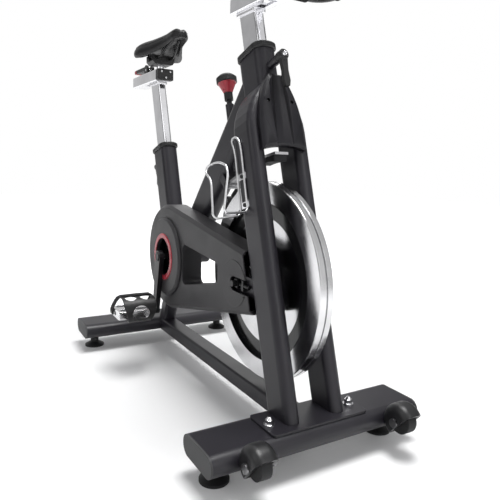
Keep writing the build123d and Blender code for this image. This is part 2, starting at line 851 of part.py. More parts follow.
# Belt drive: a spoked pulley on the crank, a small one on the flywheel, and the belt
def pulley(x, z, radius, bore, hub, far_y):
    """A pulley with one flange and a hub that runs out to far_y."""
    wide = belt_width + 2 * pulley_gap
    flange = radius + belt_thickness
    body = cylinder_y(x, belt_y, z, radius, wide + 2 * pulley_flange)
    body += cylinder_y(x, belt_y - (wide + pulley_flange) / 2, z, flange, pulley_flange)
    near_y = belt_y - wide / 2 - pulley_flange
    body += cylinder_y(x, (near_y + far_y) / 2, z, hub, far_y - near_y)
    return body - cylinder_y(x, belt_y, z, bore, 8 * wide)


crank_hub_y = belt_y + belt_width / 2 + pulley_gap + pulley_flange
crank_pulley = pulley(0, crank_height, crank_pulley_radius, axle_radius, 24, crank_hub_y)
for i in range(spoke_count):
    turn = math.radians(360 * i / spoke_count + 90)
    spoke_x = spoke_circle * math.cos(turn)
    spoke_z = crank_height + spoke_circle * math.sin(turn)
    crank_pulley -= cylinder_y(spoke_x, belt_y, spoke_z, spoke_hole_radius, 4 * belt_width)
nodes["crank_pulley"] = crank_pulley
nodes["flywheel_pulley"] = pulley(
    flywheel_x, flywheel_height, small_pulley_radius, fly_axle_radius + 4, 22, -hub_width / 2
)


def belt_face(grow):
    """Side outline round both pulleys, grown outwards."""
    big, small = crank_pulley_radius + grow, small_pulley_radius + grow
    rise = flywheel_height - crank_height
    span = math.hypot(flywheel_x, rise)
    tilt = math.atan2(rise, flywheel_x)
    spread = math.acos((big - small) / span)
    corners = []
    ends = ((0, crank_height, big, (1, -1)), (flywheel_x, flywheel_height, small, (-1, 1)))
    for x, z, radius, ways in ends:
        for way in ways:
            turn = tilt + way * spread
            corners.append((x + radius * math.cos(turn), z + radius * math.sin(turn)))
    loop = Polygon(*corners, align=None)
    return loop + Pos(0, crank_height) * Circle(big) + Pos(flywheel_x, flywheel_height) * Circle(small)


belt = belt_face(pulley_gap + belt_thickness) - belt_face(pulley_gap)
nodes["drive_belt"] = extrude(side_plane(belt_y + belt_width / 2) * belt, belt_width)

# Flywheel: a heavy rim on a web, turning on a fixed axle in two bearings
flywheel = cylinder_y(flywheel_x, 0, flywheel_height, flywheel_radius, flywheel_width)
flywheel = chamfer(flywheel.edges(), 2)
dish = flywheel_radius - flywheel_rim_depth
for way in (-1, 1):
    face_y = way * (flywheel_width / 2 + flywheel_web / 2) / 2
    depth = (flywheel_width - flywheel_web) / 2
    flywheel -= ring_y(flywheel_x, face_y, flywheel_height, dish, hub_radius, depth)
flywheel += cylinder_y(flywheel_x, 0, flywheel_height, hub_radius, hub_width)
groove_floor = flywheel_radius - groove_depth
rim_groove = ring_y(flywheel_x, 0, flywheel_height, flywheel_radius + 5, groove_floor, groove_width)
bearing_y = (hub_width - fly_bearing_width) / 2
flywheel -= rim_groove
flywheel -= cylinder_y(flywheel_x, 0, flywheel_height, fly_axle_radius + 4, 2 * hub_width)
for way in (-1, 1):
    seat_y = way * bearing_y
    flywheel -= cylinder_y(flywheel_x, seat_y, flywheel_height, fly_bearing_radius, fly_bearing_width)
nodes["flywheel"] = flywheel
nodes["flywheel_bearings"] = Compound([
    ring_y(
        flywheel_x, way * bearing_y, flywheel_height, fly_bearing_radius, fly_axle_radius + running_fit,
        fly_bearing_width,
    )
    for way in (-1, 1)
])
nodes["flywheel_axle"] = cylinder_y(flywheel_x, 0, flywheel_height, fly_axle_radius, fly_axle_length)


def axle_nut(side):
    """A hexagon nut on the flywheel axle."""
    face = side * (dropout_y + dropout_thickness / 2)
    centre = (crank_x + flywheel_x, face, flywheel_height)
    plane = Plane(origin=centre, x_dir=(1, 0, 0), z_dir=(0, side, 0))
    hexagon = RegularPolygon(axle_nut_radius, 6) - Circle(fly_axle_radius)
    return extrude(plane * hexagon, axle_nut_height)


def tensioner(side):
    """A belt tension bolt in its block, on the face of the dropout."""
    face = side * (dropout_y + dropout_thickness / 2)
    start_x = flywheel_x + axle_nut_radius + 8
    block = at(start_x + 12, face + side * 5, flywheel_height) * Box(8, 10, 24)
    bolt = at(start_x + tension_bolt_length / 2 - 6, face + side * 5.5, flywheel_height) * Rot(0, 90, 0)
    return block + bolt * Cylinder(tension_bolt_radius, tension_bolt_length - 6)


nodes["axle_fasteners"] = Compound([axle_nut(-1), axle_nut(1), tensioner(-1), tensioner(1)])

# Drive cover: a teardrop shell over the belt, with a window, a raised disc and a ring
cover_front = Plane(
    origin=(crank_x + cover_front_x, 0, flywheel_height),
    x_dir=(0, 1, 0),
    z_dir=(math.cos(rake), 0, math.sin(rake)),
)
ahead = extrude(cover_front * Rectangle(600, 1600), 600)


def cover_face(inset):
    """Teardrop outline of the cover, drawn in by an inset; it runs on past its front end."""
    radius = cover_radius - inset
    top, bottom = math.radians(cover_top_slope), math.radians(cover_bottom_slope)
    reach = cover_front_x + 150
    top_x, top_z = radius * math.sin(top), radius * math.cos(top)
    bottom_x, bottom_z = radius * math.sin(bottom), -radius * math.cos(bottom)
    front_top = top_z - (reach - top_x) * math.tan(top)
    front_bottom = bottom_z + (reach - bottom_x) * math.tan(bottom)
    sides = Polygon(
        (top_x, top_z), (0, 0), (bottom_x, bottom_z), (reach, front_bottom), (reach, front_top),
        align=None,
    )
    return Pos(0, crank_height) * (sides + Circle(radius))


def window_face(grow):
    """The window between the belt runs, grown outwards."""
    corners = Polygon(
        (window_rear_x - grow, window_bottom_rear - grow),
        (window_front_x + grow, window_bottom_front - grow),
        (window_front_x + grow, window_top_front + grow),
        (window_rear_x - grow, window_top_rear + grow),
        align=None,
    )
    return fillet(corners.vertices(), window_corner + grow)


cover_deep = cover_inner_y - cover_outer_y
cover = extrude(side_plane(cover_inner_y) * cover_face(0), cover_deep)
cover = chamfer(cover.faces().sort_by(Axis.Y)[0].edges(), cover_edge)
cover -= extrude(side_plane(cover_inner_y) * cover_face(cover_wall), cover_deep - cover_edge)
cover -= extrude(side_plane(cover_inner_y) * cover_face(cover_edge), cover_deep - cover_wall)
cover += extrude(side_plane(cover_inner_y) * window_face(cover_wall), cover_deep)
cover -= extrude(side_plane(0) * window_face(0), 2 * crank_face)
cover -= cylinder_y(0, cover_outer_y, crank_height, cover_disc_radius - 17, 4 * cover_wall)
slot_run = cover_front_x - flywheel_x + 100
axle_slot = SlotOverall(2 * slot_run, axle_slot_height)
slot_middle = Pos(flywheel_x - axle_slot_height / 2 + slot_run, flywheel_height)
cover -= extrude(side_plane(cover_outer_y + 2 * cover_wall) * slot_middle * axle_slot, 4 * cover_wall)
nodes["drive_cover"] = cover - ahead

inner_y = cover_inner_y + inner_cover_thickness
inner = extrude(side_plane(inner_y) * cover_face(0), inner_cover_thickness)
inner -= extrude(side_plane(0) * window_face(0), crank_face)
inner -= cylinder_y(0, inner_y, crank_height, shell_radius + 2, 40)
inner -= cylinder_y(flywheel_x, inner_y, flywheel_height, hub_radius + 6, 40)
nodes["inner_cover"] = inner - ahead

disc_y0 = cover_outer_y - cover_disc_height / 2
disc = cylinder_y(0, disc_y0, crank_height, cover_disc_radius, cover_disc_height)
disc = chamfer(disc.faces().sort_by(Axis.Y)[0].edges(), cover_disc_bevel)
nodes["cover_disc"] = disc - cylinder_y(0, disc_y0, crank_height, cover_hole_radius, 40)
ring_y0 = cover_outer_y - cover_disc_height - cover_ring_thickness / 2
ring = ring_y(0, ring_y0, crank_height, cover_ring_radius, cover_hole_radius, cover_ring_thickness)
nodes["cover_ring"] = chamfer(ring.faces().sort_by(Axis.Y)[0].edges().sort_by(SortBy.LENGTH)[-1], 2)


# Posts and sliders: each post carries a guide block inside its slider
def slider_plane(x, z):
    """Plane square to a slider at its rear end."""
    return Plane(origin=(crank_x + x, 0, z + slider_height / 2), x_dir=(0, 1, 0), z_dir=(1, 0, 0))


def slider_tube(rear, front, z, neck_x, back, ahead_by, bolt_x):
    """A box tube with a slot below for the post's neck and one above for the clamp bolt."""
    plane = slider_plane(rear, z)
    tube = oval_tube(plane, slider_width, slider_height, slider_corner, slider_wall, front - rear)
    play = 1.0
    low_rear = neck_x - neck_length / 2 - back - play
    low_front = neck_x + neck_length / 2 + ahead_by + play
    low_slot = Box(low_front - low_rear, neck_width + 2 * play, 3 * slider_wall)
    tube -= at((low_rear + low_front) / 2, 0, z) * low_slot
    reach = slider_bolt_radius + play
    top_rear, top_front = bolt_x - reach - back, bolt_x + reach + ahead_by
    top_slot = Box(top_front - top_rear, 2 * reach, 3 * slider_wall)
    return tube - at((top_rear + top_front) / 2, 0, z + slider_height) * top_slot


def post(top, insert, x, z, lean, block_rear, block_front, bolt_x):
    """A post cut level under its slider, with a neck, a guide block and an eye bolt."""
    foot = top.offset(-insert)
    tube = oval_tube(foot, post_depth, post_width, post_corner, post_wall, 3 * insert + 400)
    above = at(x, 0, z - sliding_gap + 1000) * Box(2000, 2000, 2000)
    solid = tube - above
    head = at(x, 0, z - sliding_gap - 4) * Box(post_depth + 12, post_width + 10, 8)
    solid += fillet(head.edges().filter_by(Axis.Z), 6)
    inside = slider_wall + sliding_gap
    solid += at(x, 0, z + slider_height / 4) * Box(neck_length, neck_width, slider_height / 2 + 4)
    block = Box(block_front - block_rear, slider_width - 2 * inside, slider_height - 2 * inside)
    solid += at((block_rear + block_front) / 2, 0, z + slider_height / 2) * block
    eye_z = z + slider_height + slider_lever_rise
    stud = at(bolt_x, 0, (z + slider_height / 2 + eye_z) / 2)
    solid += stud * Cylinder(slider_bolt_radius, eye_z - z - slider_height / 2)
    return solid + cylinder_y(bolt_x, 0, eye_z, slider_pin_radius, slider_lever_width)


def slider_lever(x, z, way):
    """A cam lever on the eye bolt: two cheeks joined by a flat handle."""
    eye_z = z + slider_height + slider_lever_rise
    cam = slider_lever_rise - sliding_gap
    solid = cylinder_y(x, 0, eye_z, cam, slider_lever_width)
    bar_length = slider_lever_length - 4
    bar = at(x + way * (bar_length / 2 + 4), 0, eye_z + 6) * Box(bar_length, slider_lever_width, 12)
    solid += fillet(bar.edges().filter_by(Axis.Z), 8)
    gap = at(x, 0, eye_z) * Box(2 * cam + 8, 2 * slider_bolt_radius + 3, 6 * cam)
    return solid - gap - cylinder_y(x, 0, eye_z, slider_pin_radius + running_fit, 2 * slider_lever_width)


seat_neck_x = seat_x(seat_slider_z)
bar_neck_x = head_x(bar_slider_z)
nodes["seat_post"] = post(
    seat_top, seat_post_insert, seat_neck_x, seat_slider_z, seat_lean, seat_block_rear, seat_block_front,
    slider_lever_x,
)
nodes["handlebar_post"] = post(
    head_top, bar_post_insert, bar_neck_x, bar_slider_z, rake, bar_block_rear, bar_block_front,
    bar_lever_x,
)
seat_slider = slider_tube(
    seat_slider_rear, seat_slider_front, seat_slider_z, seat_neck_x, seat_travel, 0, slider_lever_x
)
saddle_pin_z = seat_slider_z + slider_height
pin = Cylinder(saddle_pin_radius, saddle_pin_height, align=(Align.CENTER, Align.CENTER, Align.MIN))
nodes["seat_slider"] = seat_slider + at(saddle_pin_x, 0, saddle_pin_z) * pin
nodes["bar_slider"] = slider_tube(
    bar_slider_rear, bar_slider_front, bar_slider_z, bar_neck_x, 0, bar_travel, bar_lever_x
)
nodes["seat_slider_lever"] = slider_lever(slider_lever_x, seat_slider_z, -1)
nodes["bar_slider_lever"] = slider_lever(bar_lever_x, bar_slider_z, 1)


def slider_cap(x, z, way):
    """A plastic plug with a head that closes one end of a slider."""
    plane = slider_plane(x, z)
    face = RectangleRounded(slider_width, slider_height, slider_corner)
    head = extrude(plane * face, way * slider_cap_length)
    head = chamfer(head.faces().sort_by(Axis.X)[-1 if way > 0 else 0].edges(), 3)
    play = slider_wall + sliding_gap
    plug = RectangleRounded(slider_width - 2 * play, slider_height - 2 * play, 1)
    return head + extrude(plane * plug, -way * slider_cap_plug)


nodes["slider_end_cap"] = slider_cap(seat_slider_front, seat_slider_z, 1)


# Bent wires and tubes follow a path of straight runs, whose corners turn in short chords
def bent_path(points, radius, chords):
    """A path through points, each corner turned in a number of chords of an arc."""
    spots = [Vector(*p) for p in points]
    path = [spots[0]]
    for before, corner, after in zip(spots, spots[1:], spots[2:]):
        back, on = (before - corner).normalized(), (after - corner).normalized()
        half = math.radians(back.get_angle(on) / 2)
        start, end = corner + back * (radius / math.tan(half)), corner + on * (radius / math.tan(half))
        centre = corner + (back + on).normalized() * (radius / math.sin(half))
        turn = math.pi - 2 * half
        for i in range(chords + 1):
            a, b = math.sin(turn * (1 - i / chords)), math.sin(turn * i / chords)
            path.append(centre + ((start - centre) * a + (end - centre) * b) / math.sin(turn))
    return Wire.make_polygon(path + [spots[-1]], close=False)


def bent_rod(points, radius, corner, chords):
    """A round rod along a bent path."""
    path = bent_path(points, corner, chords)
    section = Plane(origin=path @ 0, z_dir=path % 0) * Circle(radius)
    return sweep(section, path=path, transition=Transition.RIGHT)


# Saddle: a padded shell with a crown, drawn-in sides and a channel, on rails and a clamp
def saddle_section(share, half, crest, side_z, low, drawn, channel):
    """One cross-section of the saddle, a share of the way from the rear to the nose."""
    x = crank_x + saddle_rear + share * saddle_length
    plane = Plane(origin=(x, 0, saddle_underside), x_dir=(0, 1, 0), z_dir=(1, 0, 0))
    ridge = 0.42 * half
    rise = crest - side_z
    vault = max(crest - saddle_padding, low + 1)
    right = [
        (0, crest - channel), (ridge, crest),
        (0.74 * half, side_z + 0.82 * rise), (0.93 * half, side_z + 0.46 * rise), (half, side_z),
        (half - drawn, low), (ridge, vault),
    ]
    left = [(-y, z) for y, z in reversed(right[1:])]
    return plane * Polygon(*right, *left, align=None)


wing, nose, crown = saddle_rear_width / 2, saddle_nose_width / 2, saddle_crown
saddle = loft([
    saddle_section(0.00, 0.60 * wing, 0.60 * crown, 4, -6, 8, 2),
    saddle_section(0.09, 0.92 * wing, 0.74 * crown, -4, -14, 10, 6),
    saddle_section(0.26, 1.00 * wing, 0.77 * crown, -9, -19, 12, 8),
    saddle_section(0.48, 0.72 * wing, 0.81 * crown, -3, -13, 10, 8),
    saddle_section(0.70, 1.22 * nose, 0.91 * crown, 10, 0, 7, 5),
    saddle_section(0.93, 0.92 * nose, 1.02 * crown, 21, 12, 5, 3),
    saddle_section(1.00, 0.55 * nose, 0.84 * crown, 22, 15, 4, 1.5),
], ruled=True)
nodes["saddle"] = saddle


def saddle_rail(side):
    """One steel rail under the saddle."""
    y = side * rail_spread / 2
    flat_z = saddle_pin_z + saddle_pin_height + 4
    points = [
        (crank_x + saddle_rear + 30, 1.3 * y, saddle_underside + 14),
        (crank_x + saddle_pin_x - 42, y, flat_z),
        (crank_x + saddle_pin_x + 60, y, flat_z),
        (crank_x + saddle_rear + 0.86 * saddle_length, 0.45 * y, saddle_underside + 28),
    ]
    return bent_rod(points, rail_radius, 18, 2)


rails = [saddle_rail(side) for side in (-1, 1)]
rail_z = saddle_pin_z + saddle_pin_height + 4
clamp_block = Box(clamp_length, clamp_width, clamp_height)
clamp_block = chamfer(clamp_block.faces().sort_by(Axis.Z)[0].edges().filter_by(Axis.X), 9)
saddle_clamp = at(saddle_pin_x, 0, rail_z - clamp_drop) * clamp_block
saddle_clamp += cylinder_y(saddle_pin_x, 0, rail_z - clamp_drop, 7, clamp_width + 12)
pin_hole = Cylinder(saddle_pin_radius + running_fit, saddle_pin_height + 20)
saddle_clamp -= at(saddle_pin_x, 0, saddle_pin_z + saddle_pin_height / 2 - 10) * pin_hole
for rail in rails:
    saddle_clamp -= rail
nodes["saddle_rails"] = Compound([rail - saddle for rail in rails])
nodes["saddle_clamp"] = saddle_clamp - saddle

# Handlebar: one bent tube with side bars and rising horns, on a bracket
bar_front = bar_x + bar_side_length
bar_points = [
    (bar_front + 40, -bar_half_width + 34, bar_z + horn_rise),
    (bar_front, -bar_half_width, bar_z),
    (bar_x, -bar_half_width, bar_z),
    (bar_x, bar_half_width, bar_z),
    (bar_front, bar_half_width, bar_z),
    (bar_front + 40, bar_half_width - 34, bar_z + horn_rise),
]
bar_points = [(crank_x + x, y, z) for x, y, z in bar_points]
handlebar = bent_rod(bar_points, bar_radius, bar_bend, 6)
bracket_foot = bar_slider_z + slider_height
bracket_height = bar_z + bar_radius - bracket_foot
bracket = Box(bracket_length, bracket_width, bracket_height)
bracket = at(bar_x, 0, bracket_foot + bracket_height / 2) * bracket
bracket = fillet(bracket.edges().filter_by(Axis.Y), 8)
nodes["handlebar"] = handlebar + (bracket - cylinder_y(bar_x, 0, bar_z, bar_radius, 2 * bracket_width))


def grip_on(start, end, skip_start, skip_end):
    """A foam grip on a straight run of the handlebar."""
    a, b = Vector(*start), Vector(*end)
    run = (b - a).normalized()
    first, last = a + run * skip_start, b - run * skip_end
    sleeve_plane = Plane(origin=first, z_dir=run)
    sleeve = Circle(grip_radius) - Circle(bar_radius + running_fit)
    return extrude(sleeve_plane * sleeve, (last - first).length)


def bar_grips(points):
    """Grips on the cross bar, the side bar and the horn of the right half."""
    horn, knee, corner = points[0], points[1], points[2]
    centre = (corner[0], -bracket_width / 2 - 26, corner[2])
    return [
        grip_on(horn, knee, 0, 30),
        grip_on(knee, corner, 30, bar_bend + 4),
        grip_on(corner, centre, bar_bend + 4, 0),
    ]


grips = bar_grips(bar_points)
nodes["handlebar_grips"] = Compound(grips + [mirrored(grip) for grip in grips])

# Brake: a knob on a push rod, an arm under the main tube and a pad over the flywheel
nodes["brake_rod"] = extrude(rod_plane.offset(28) * Circle(rod_radius), -28 - rod_length)
with BuildSketch(Plane.XZ) as knob_profile:
    with BuildLine():
        Polyline(
            (0, 30), (rod_radius + running_fit, 30), (rod_radius + running_fit, -12),
            (knob_neck_radius, -12), (knob_neck_radius, knob_collar_foot),
            (knob_collar_radius, knob_collar_top), (knob_radius, knob_collar_top + 3),
            (knob_radius, knob_height - 7), (knob_radius - 8, knob_height), (0, knob_height), (0, 30),
        )
    make_face()
nodes["resistance_knob"] = rod_plane.location * revolve(knob_profile.sketch, Axis.Z)


def strip(points, thick):
    """Side outline of a bent plate, as thick on both sides of its middle line."""
    upper, lower = [], []
    for i, (x, z) in enumerate(points):
        ways = []
        for a, b in ((i - 1, i), (i, i + 1)):
            if 0 <= a and b < len(points):
                dx, dz = points[b][0] - points[a][0], points[b][1] - points[a][1]
                size = math.hypot(dx, dz)
                ways.append((-dz / size, dx / size))
        nx, nz = sum(w[0] for w in ways) / len(ways), sum(w[1] for w in ways) / len(ways)
        upper.append((x + nx * thick / 2, z + nz * thick / 2))
        lower.append((x - nx * thick / 2, z - nz * thick / 2))
    return Polygon(*lower, *reversed(upper), align=None)


pivot = (brake_pivot_x, brake_pivot_z)
eye_radius = brake_pin_radius + 6
arm_line = [pivot, (brake_knee_x, brake_knee_z), (brake_toe_x, brake_toe_z)]
arm_side = side_plane(brake_arm_width / 2) * strip(arm_line, brake_arm_thickness)
arm_plate = extrude(arm_side, brake_arm_width)
brake_arm = arm_plate + cylinder_y(*pivot[:1], 0, pivot[1], eye_radius, brake_arm_width)
nodes["brake_arm"] = brake_arm - cylinder_y(
    brake_pivot_x, 0, brake_pivot_z, brake_pin_radius + running_fit, 2 * brake_arm_width
)
swing = math.radians(brake_swing)
hub_dx, hub_dz = flywheel_x - brake_pivot_x, flywheel_height - brake_pivot_z
pressed_x = brake_pivot_x + hub_dx * math.cos(swing) - hub_dz * math.sin(swing)
pressed_z = brake_pivot_z + hub_dx * math.sin(swing) + hub_dz * math.cos(swing)
pad_middle = (brake_pad_rear_x + brake_pad_front_x) / 2
pad = at(pad_middle, 0, brake_knee_z - 5) * Box(brake_pad_front_x - brake_pad_rear_x, brake_pad_width, 60)
pad -= cylinder_y(pressed_x, 0, pressed_z, flywheel_radius + 0.5, 2 * brake_pad_width)
above_arm = [
    (brake_knee_x, brake_knee_z), (brake_toe_x, brake_toe_z), (brake_toe_x, brake_toe_z + 80),
    (brake_pad_rear_x - 40, brake_toe_z + 80), (brake_pad_rear_x - 40, brake_knee_z),
]
pad -= extrude(side_plane(brake_arm_width) * Polygon(*above_arm, align=None), 2 * brake_arm_width)
nodes["brake_pad"] = pad - arm_plate


def brake_cheek_plate(side):
    """One cheek of the brake bracket, from the main tube's underside to the hinge pin."""
    y = side * (brake_arm_width / 2 + 1 + brake_cheek / 2)
    lobe = cylinder_y(brake_pivot_x, y, brake_pivot_z, eye_radius, brake_cheek)
    lean = Plane(
        origin=(crank_x + brake_pivot_x, y, brake_pivot_z),
        x_dir=main_plane.x_dir, z_dir=(0, 1, 0),
    )
    web = lean * Pos(-2 * eye_radius, 0) * Rectangle(4 * eye_radius, 2 * eye_radius)
    web = extrude(web, brake_cheek / 2, both=True)
    return lobe + web - main_outline


pin_length = brake_arm_width + 2 + 2 * brake_cheek + 6
brake_bracket = cylinder_y(brake_pivot_x, 0, brake_pivot_z, brake_pin_radius, pin_length)
brake_bracket += brake_cheek_plate(-1) + brake_cheek_plate(1)
nodes["brake_bracket"] = brake_bracket

# Bottle cage: bent wire on the outer side of the right leg
leg_side = -(leg_spread / 2 + leg_width / 2)
cage_plane = raked_plane(head_x(cage_foot_z) + leg_forward - 20, leg_side, cage_foot_z, rake)


def cage_spot(ahead_by, out, up):
    """A place on the cage: forward, out from the leg and up along it."""
    spot = cage_plane.origin + cage_plane.x_dir * ahead_by + cage_plane.z_dir * up
    return spot.X, spot.Y - out, spot.Z


near = wire_radius + sliding_gap
half_back, half_front = cage_rail_gap / 2, cage_front_spread / 2
seam = 82
wire_points = [
    cage_spot(half_back, near, seam + 0.1),
    cage_spot(half_back, near, cage_rail_height),
    cage_spot(-half_back, near, cage_rail_height),
    cage_spot(-half_back, near, 0),
    cage_spot(-half_front, cage_stand_out, 0),
    cage_spot(-half_front, cage_stand_out, cage_stand_height),
    cage_spot(half_front, cage_stand_out, cage_stand_height),
    cage_spot(half_front, cage_stand_out, 0),
    cage_spot(half_back, near, 0),
    cage_spot(half_back, near, seam - 0.1),
]
bottle_cage = bent_rod(wire_points, wire_radius, 10, 3)
for up in (22, seam):
    tab = Plane(origin=cage_spot(0, 0, up), x_dir=cage_plane.x_dir, z_dir=(0, -1, 0))
    bottle_cage += extrude(tab * RectangleRounded(cage_rail_gap + 10, 14, 4), near)
    bottle_cage += extrude(tab * Circle(5), near + 4)
nodes["bottle_cage"] = bottle_cage

if __name__ == "__main__":
    os.makedirs("parts", exist_ok=True)
    for name, shape in nodes.items():
        export_step(shape, f"parts/{name}.step")
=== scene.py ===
"""Looks of a belt-driven indoor cycle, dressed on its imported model."""

import math

import bmesh
import bpy
from mathutils import Matrix, Vector


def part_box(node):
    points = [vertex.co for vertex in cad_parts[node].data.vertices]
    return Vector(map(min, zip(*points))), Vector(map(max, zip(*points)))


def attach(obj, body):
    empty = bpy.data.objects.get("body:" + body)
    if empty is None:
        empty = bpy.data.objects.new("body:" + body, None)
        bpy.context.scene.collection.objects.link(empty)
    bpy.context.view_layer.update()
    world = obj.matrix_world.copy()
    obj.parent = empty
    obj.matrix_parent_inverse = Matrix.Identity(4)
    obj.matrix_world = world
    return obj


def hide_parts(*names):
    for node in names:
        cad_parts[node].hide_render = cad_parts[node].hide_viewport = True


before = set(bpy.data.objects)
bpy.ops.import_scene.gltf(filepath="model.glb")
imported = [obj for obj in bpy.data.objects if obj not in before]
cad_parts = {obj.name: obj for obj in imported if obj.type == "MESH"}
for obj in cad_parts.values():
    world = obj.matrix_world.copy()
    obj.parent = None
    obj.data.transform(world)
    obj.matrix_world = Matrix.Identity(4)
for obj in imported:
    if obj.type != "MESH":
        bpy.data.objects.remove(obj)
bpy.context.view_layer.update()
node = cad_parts


# Photographer's camera: a 37 mm lens about 0.6 m above the floor, ahead of the bike and to its
# right, turned a little down and a hair off level.
def put(name, data):
    """A new object in the scene."""
    thing = bpy.data.objects.new(name, data)
    bpy.context.collection.objects.link(thing)
    return thing


crank_x = -0.115384
eye = Vector((1.4453 + crank_x, -0.6545, 0.6165))
heading, dip, roll = math.radians(59.2076), math.radians(9.0299), math.radians(1.7823)
ahead = Vector((-math.sin(heading) * math.cos(dip), math.cos(heading) * math.cos(dip), -math.sin(dip)))
level = ahead.cross(Vector((0, 0, 1))).normalized()
rise = level.cross(ahead)
camera_right = level * math.cos(roll) + rise * math.sin(roll)
camera_up = -level * math.sin(roll) + rise * math.cos(roll)
lens = bpy.data.cameras.new("photo_camera")
lens.lens, lens.sensor_width, lens.clip_start = 37.16, 36.0, 0.01
camera = put("photo_camera", lens)
camera_turn = Matrix((camera_right, camera_up, -ahead)).transposed()
camera.matrix_world = Matrix.Translation(eye) @ camera_turn.to_4x4()
bpy.context.scene.camera = camera
bpy.context.scene.view_settings.view_transform = "Standard"


# Studio: a white sweep with a soft box overhead, a strip in front for the edges of the tubes and
# weaker boxes at the right and behind. Polished metal sees the white walls dimmed to both sides.
def add_node(tree, kind, feeds=None, **settings):
    """A node with its settings, whose inputs take other nodes' outputs or plain values."""
    made = tree.nodes.new(kind)
    for name, value in settings.items():
        setattr(made, name, value)
    for where, feed in (feeds or {}).items():
        if isinstance(feed, bpy.types.NodeSocket):
            tree.links.new(feed, made.inputs[where])
        else:
            made.inputs[where].default_value = feed
    return made


def worked(tree, operation, *feeds):
    """The result of a sum on one, two or three values."""
    return add_node(tree, "ShaderNodeMath", dict(enumerate(feeds)), operation=operation).outputs[0]


def rescaled(tree, value, source, target):
    """A value moved from one range to another."""
    feeds = {"Value": value, "From Min": source[0], "From Max": source[1]}
    feeds.update({"To Min": target[0], "To Max": target[1]})
    return add_node(tree, "ShaderNodeMapRange", feeds).outputs["Result"]


world = bpy.data.worlds.new("studio")
bpy.context.scene.world = world
world.use_nodes = True
sky = world.node_tree
sky.nodes.clear()
ray = add_node(sky, "ShaderNodeLightPath")
seen = worked(sky, "MAXIMUM", ray.outputs["Is Camera Ray"], ray.outputs["Is Transmission Ray"])
seen_or_mirrored = worked(sky, "MAXIMUM", seen, ray.outputs["Is Glossy Ray"])
towards = add_node(sky, "ShaderNodeTexCoord").outputs["Generated"]
apart = add_node(sky, "ShaderNodeSeparateXYZ", {0: towards})
either_side = worked(sky, "ABSOLUTE", apart.outputs["Y"])
joined = add_node(sky, "ShaderNodeCombineXYZ", {"X": apart.outputs["X"], "Y": either_side}).outputs[0]
dim_way = (-0.25, 0.97, 0.0)
facing = add_node(sky, "ShaderNodeVectorMath", {0: joined, 1: dim_way}, operation="DOT_PRODUCT")
dimmed = rescaled(sky, facing.outputs["Value"], (0.2, 0.9), (0.95, 0.24))
room = add_node(sky, "ShaderNodeBackground", {"Color": (0.86, 0.87, 0.90, 1), "Strength": 0.30})
wall_glow = worked(sky, "MAXIMUM", seen, dimmed)
walls = add_node(sky, "ShaderNodeBackground", {"Color": (1, 1, 1, 1), "Strength": wall_glow})
mix = add_node(sky, "ShaderNodeMixShader", {0: seen_or_mirrored, 1: room.outputs[0], 2: walls.outputs[0]})
add_node(sky, "ShaderNodeOutputWorld", {"Surface": mix.outputs[0]})


def soft_box(name, place, target, width, height, power):
    """An area lamp that looks at a point."""
    lamp = bpy.data.lights.new(name, "AREA")
    lamp.shape, lamp.size, lamp.size_y, lamp.energy = "RECTANGLE", width, height, power
    thing = put(name, lamp)
    thing.location = place
    thing.rotation_euler = (Vector(target) - Vector(place)).to_track_quat("-Z", "Y").to_euler()


soft_box("overhead_box", (0.45, 0.2, 3.2), (0.1, 0.0, 0.3), width=1.4, height=1.2, power=108)
soft_box("front_strip", (3.0, 0.6, 1.7), (0.2, 0, 0.5), width=0.9, height=2.0, power=14)
soft_box("side_box", (0.3, -3.0, 1.9), (0.0, 0, 0.5), width=1.8, height=1.6, power=15)
soft_box("back_box", (-2.4, 1.6, 2.0), (0.0, 0, 0.6), width=1.6, height=1.4, power=14)

floor_reach = 9
floor_corners = [(x * floor_reach, y * floor_reach, 0) for x, y in ((-1, -1), (1, -1), (1, 1), (-1, 1))]
floor_mesh = bpy.data.meshes.new("floor")
floor_mesh.from_pydata(floor_corners, [], [(0, 1, 2, 3)])
floor = put("floor", floor_mesh)
floor_paint = bpy.data.materials.new("floor_paint")
floor_paint.use_nodes = True
paint = floor_paint.node_tree
paint.nodes.clear()
matte = add_node(paint, "ShaderNodeBsdfDiffuse", {"Color": (0.84, 0.84, 0.84, 1)})
ray = add_node(paint, "ShaderNodeLightPath")
seen = worked(paint, "MAXIMUM", ray.outputs["Is Camera Ray"], ray.outputs["Is Glossy Ray"])
spot = add_node(paint, "ShaderNodeTexCoord").outputs["Object"]
away = add_node(paint, "ShaderNodeVectorMath", {0: spot}, operation="LENGTH").outputs["Value"]
# The floor glows weakly near the bike and fully farther out. This paints a darker pool of shade round the
# bike that deepens its shadows, while the distant floor stays white.
glow_dim_near_bike = rescaled(paint, away, (0.55, 1.7), (0.08, 0.85))
glow = add_node(paint, "ShaderNodeEmission", {"Strength": worked(paint, "MULTIPLY", seen, glow_dim_near_bike)})
both = add_node(paint, "ShaderNodeAddShader", {0: matte.outputs[0], 1: glow.outputs[0]})
add_node(paint, "ShaderNodeOutputMaterial", {"Surface": both.outputs[0]})
floor_mesh.materials.append(floor_paint)


# Frame: stabilisers, beam, fork, head, main and seat tubes, welded from flat-oval steel tube
# and powder coated in satin graphite with a slight violet tint and a fine orange peel.
def new_group(name, kind, takes, gives):
    """An empty node group with named sockets, and the nodes of what it takes and gives."""
    group = bpy.data.node_groups.new(name, kind)
    for way, sockets in (("INPUT", takes), ("OUTPUT", gives)):
        for label, sort, *value in sockets:
            socket = group.interface.new_socket(name=label, in_out=way, socket_type="NodeSocket" + sort)
            if value:
                socket.default_value = value[0]
    return group, group.nodes.new("NodeGroupInput"), group.nodes.new("NodeGroupOutput")


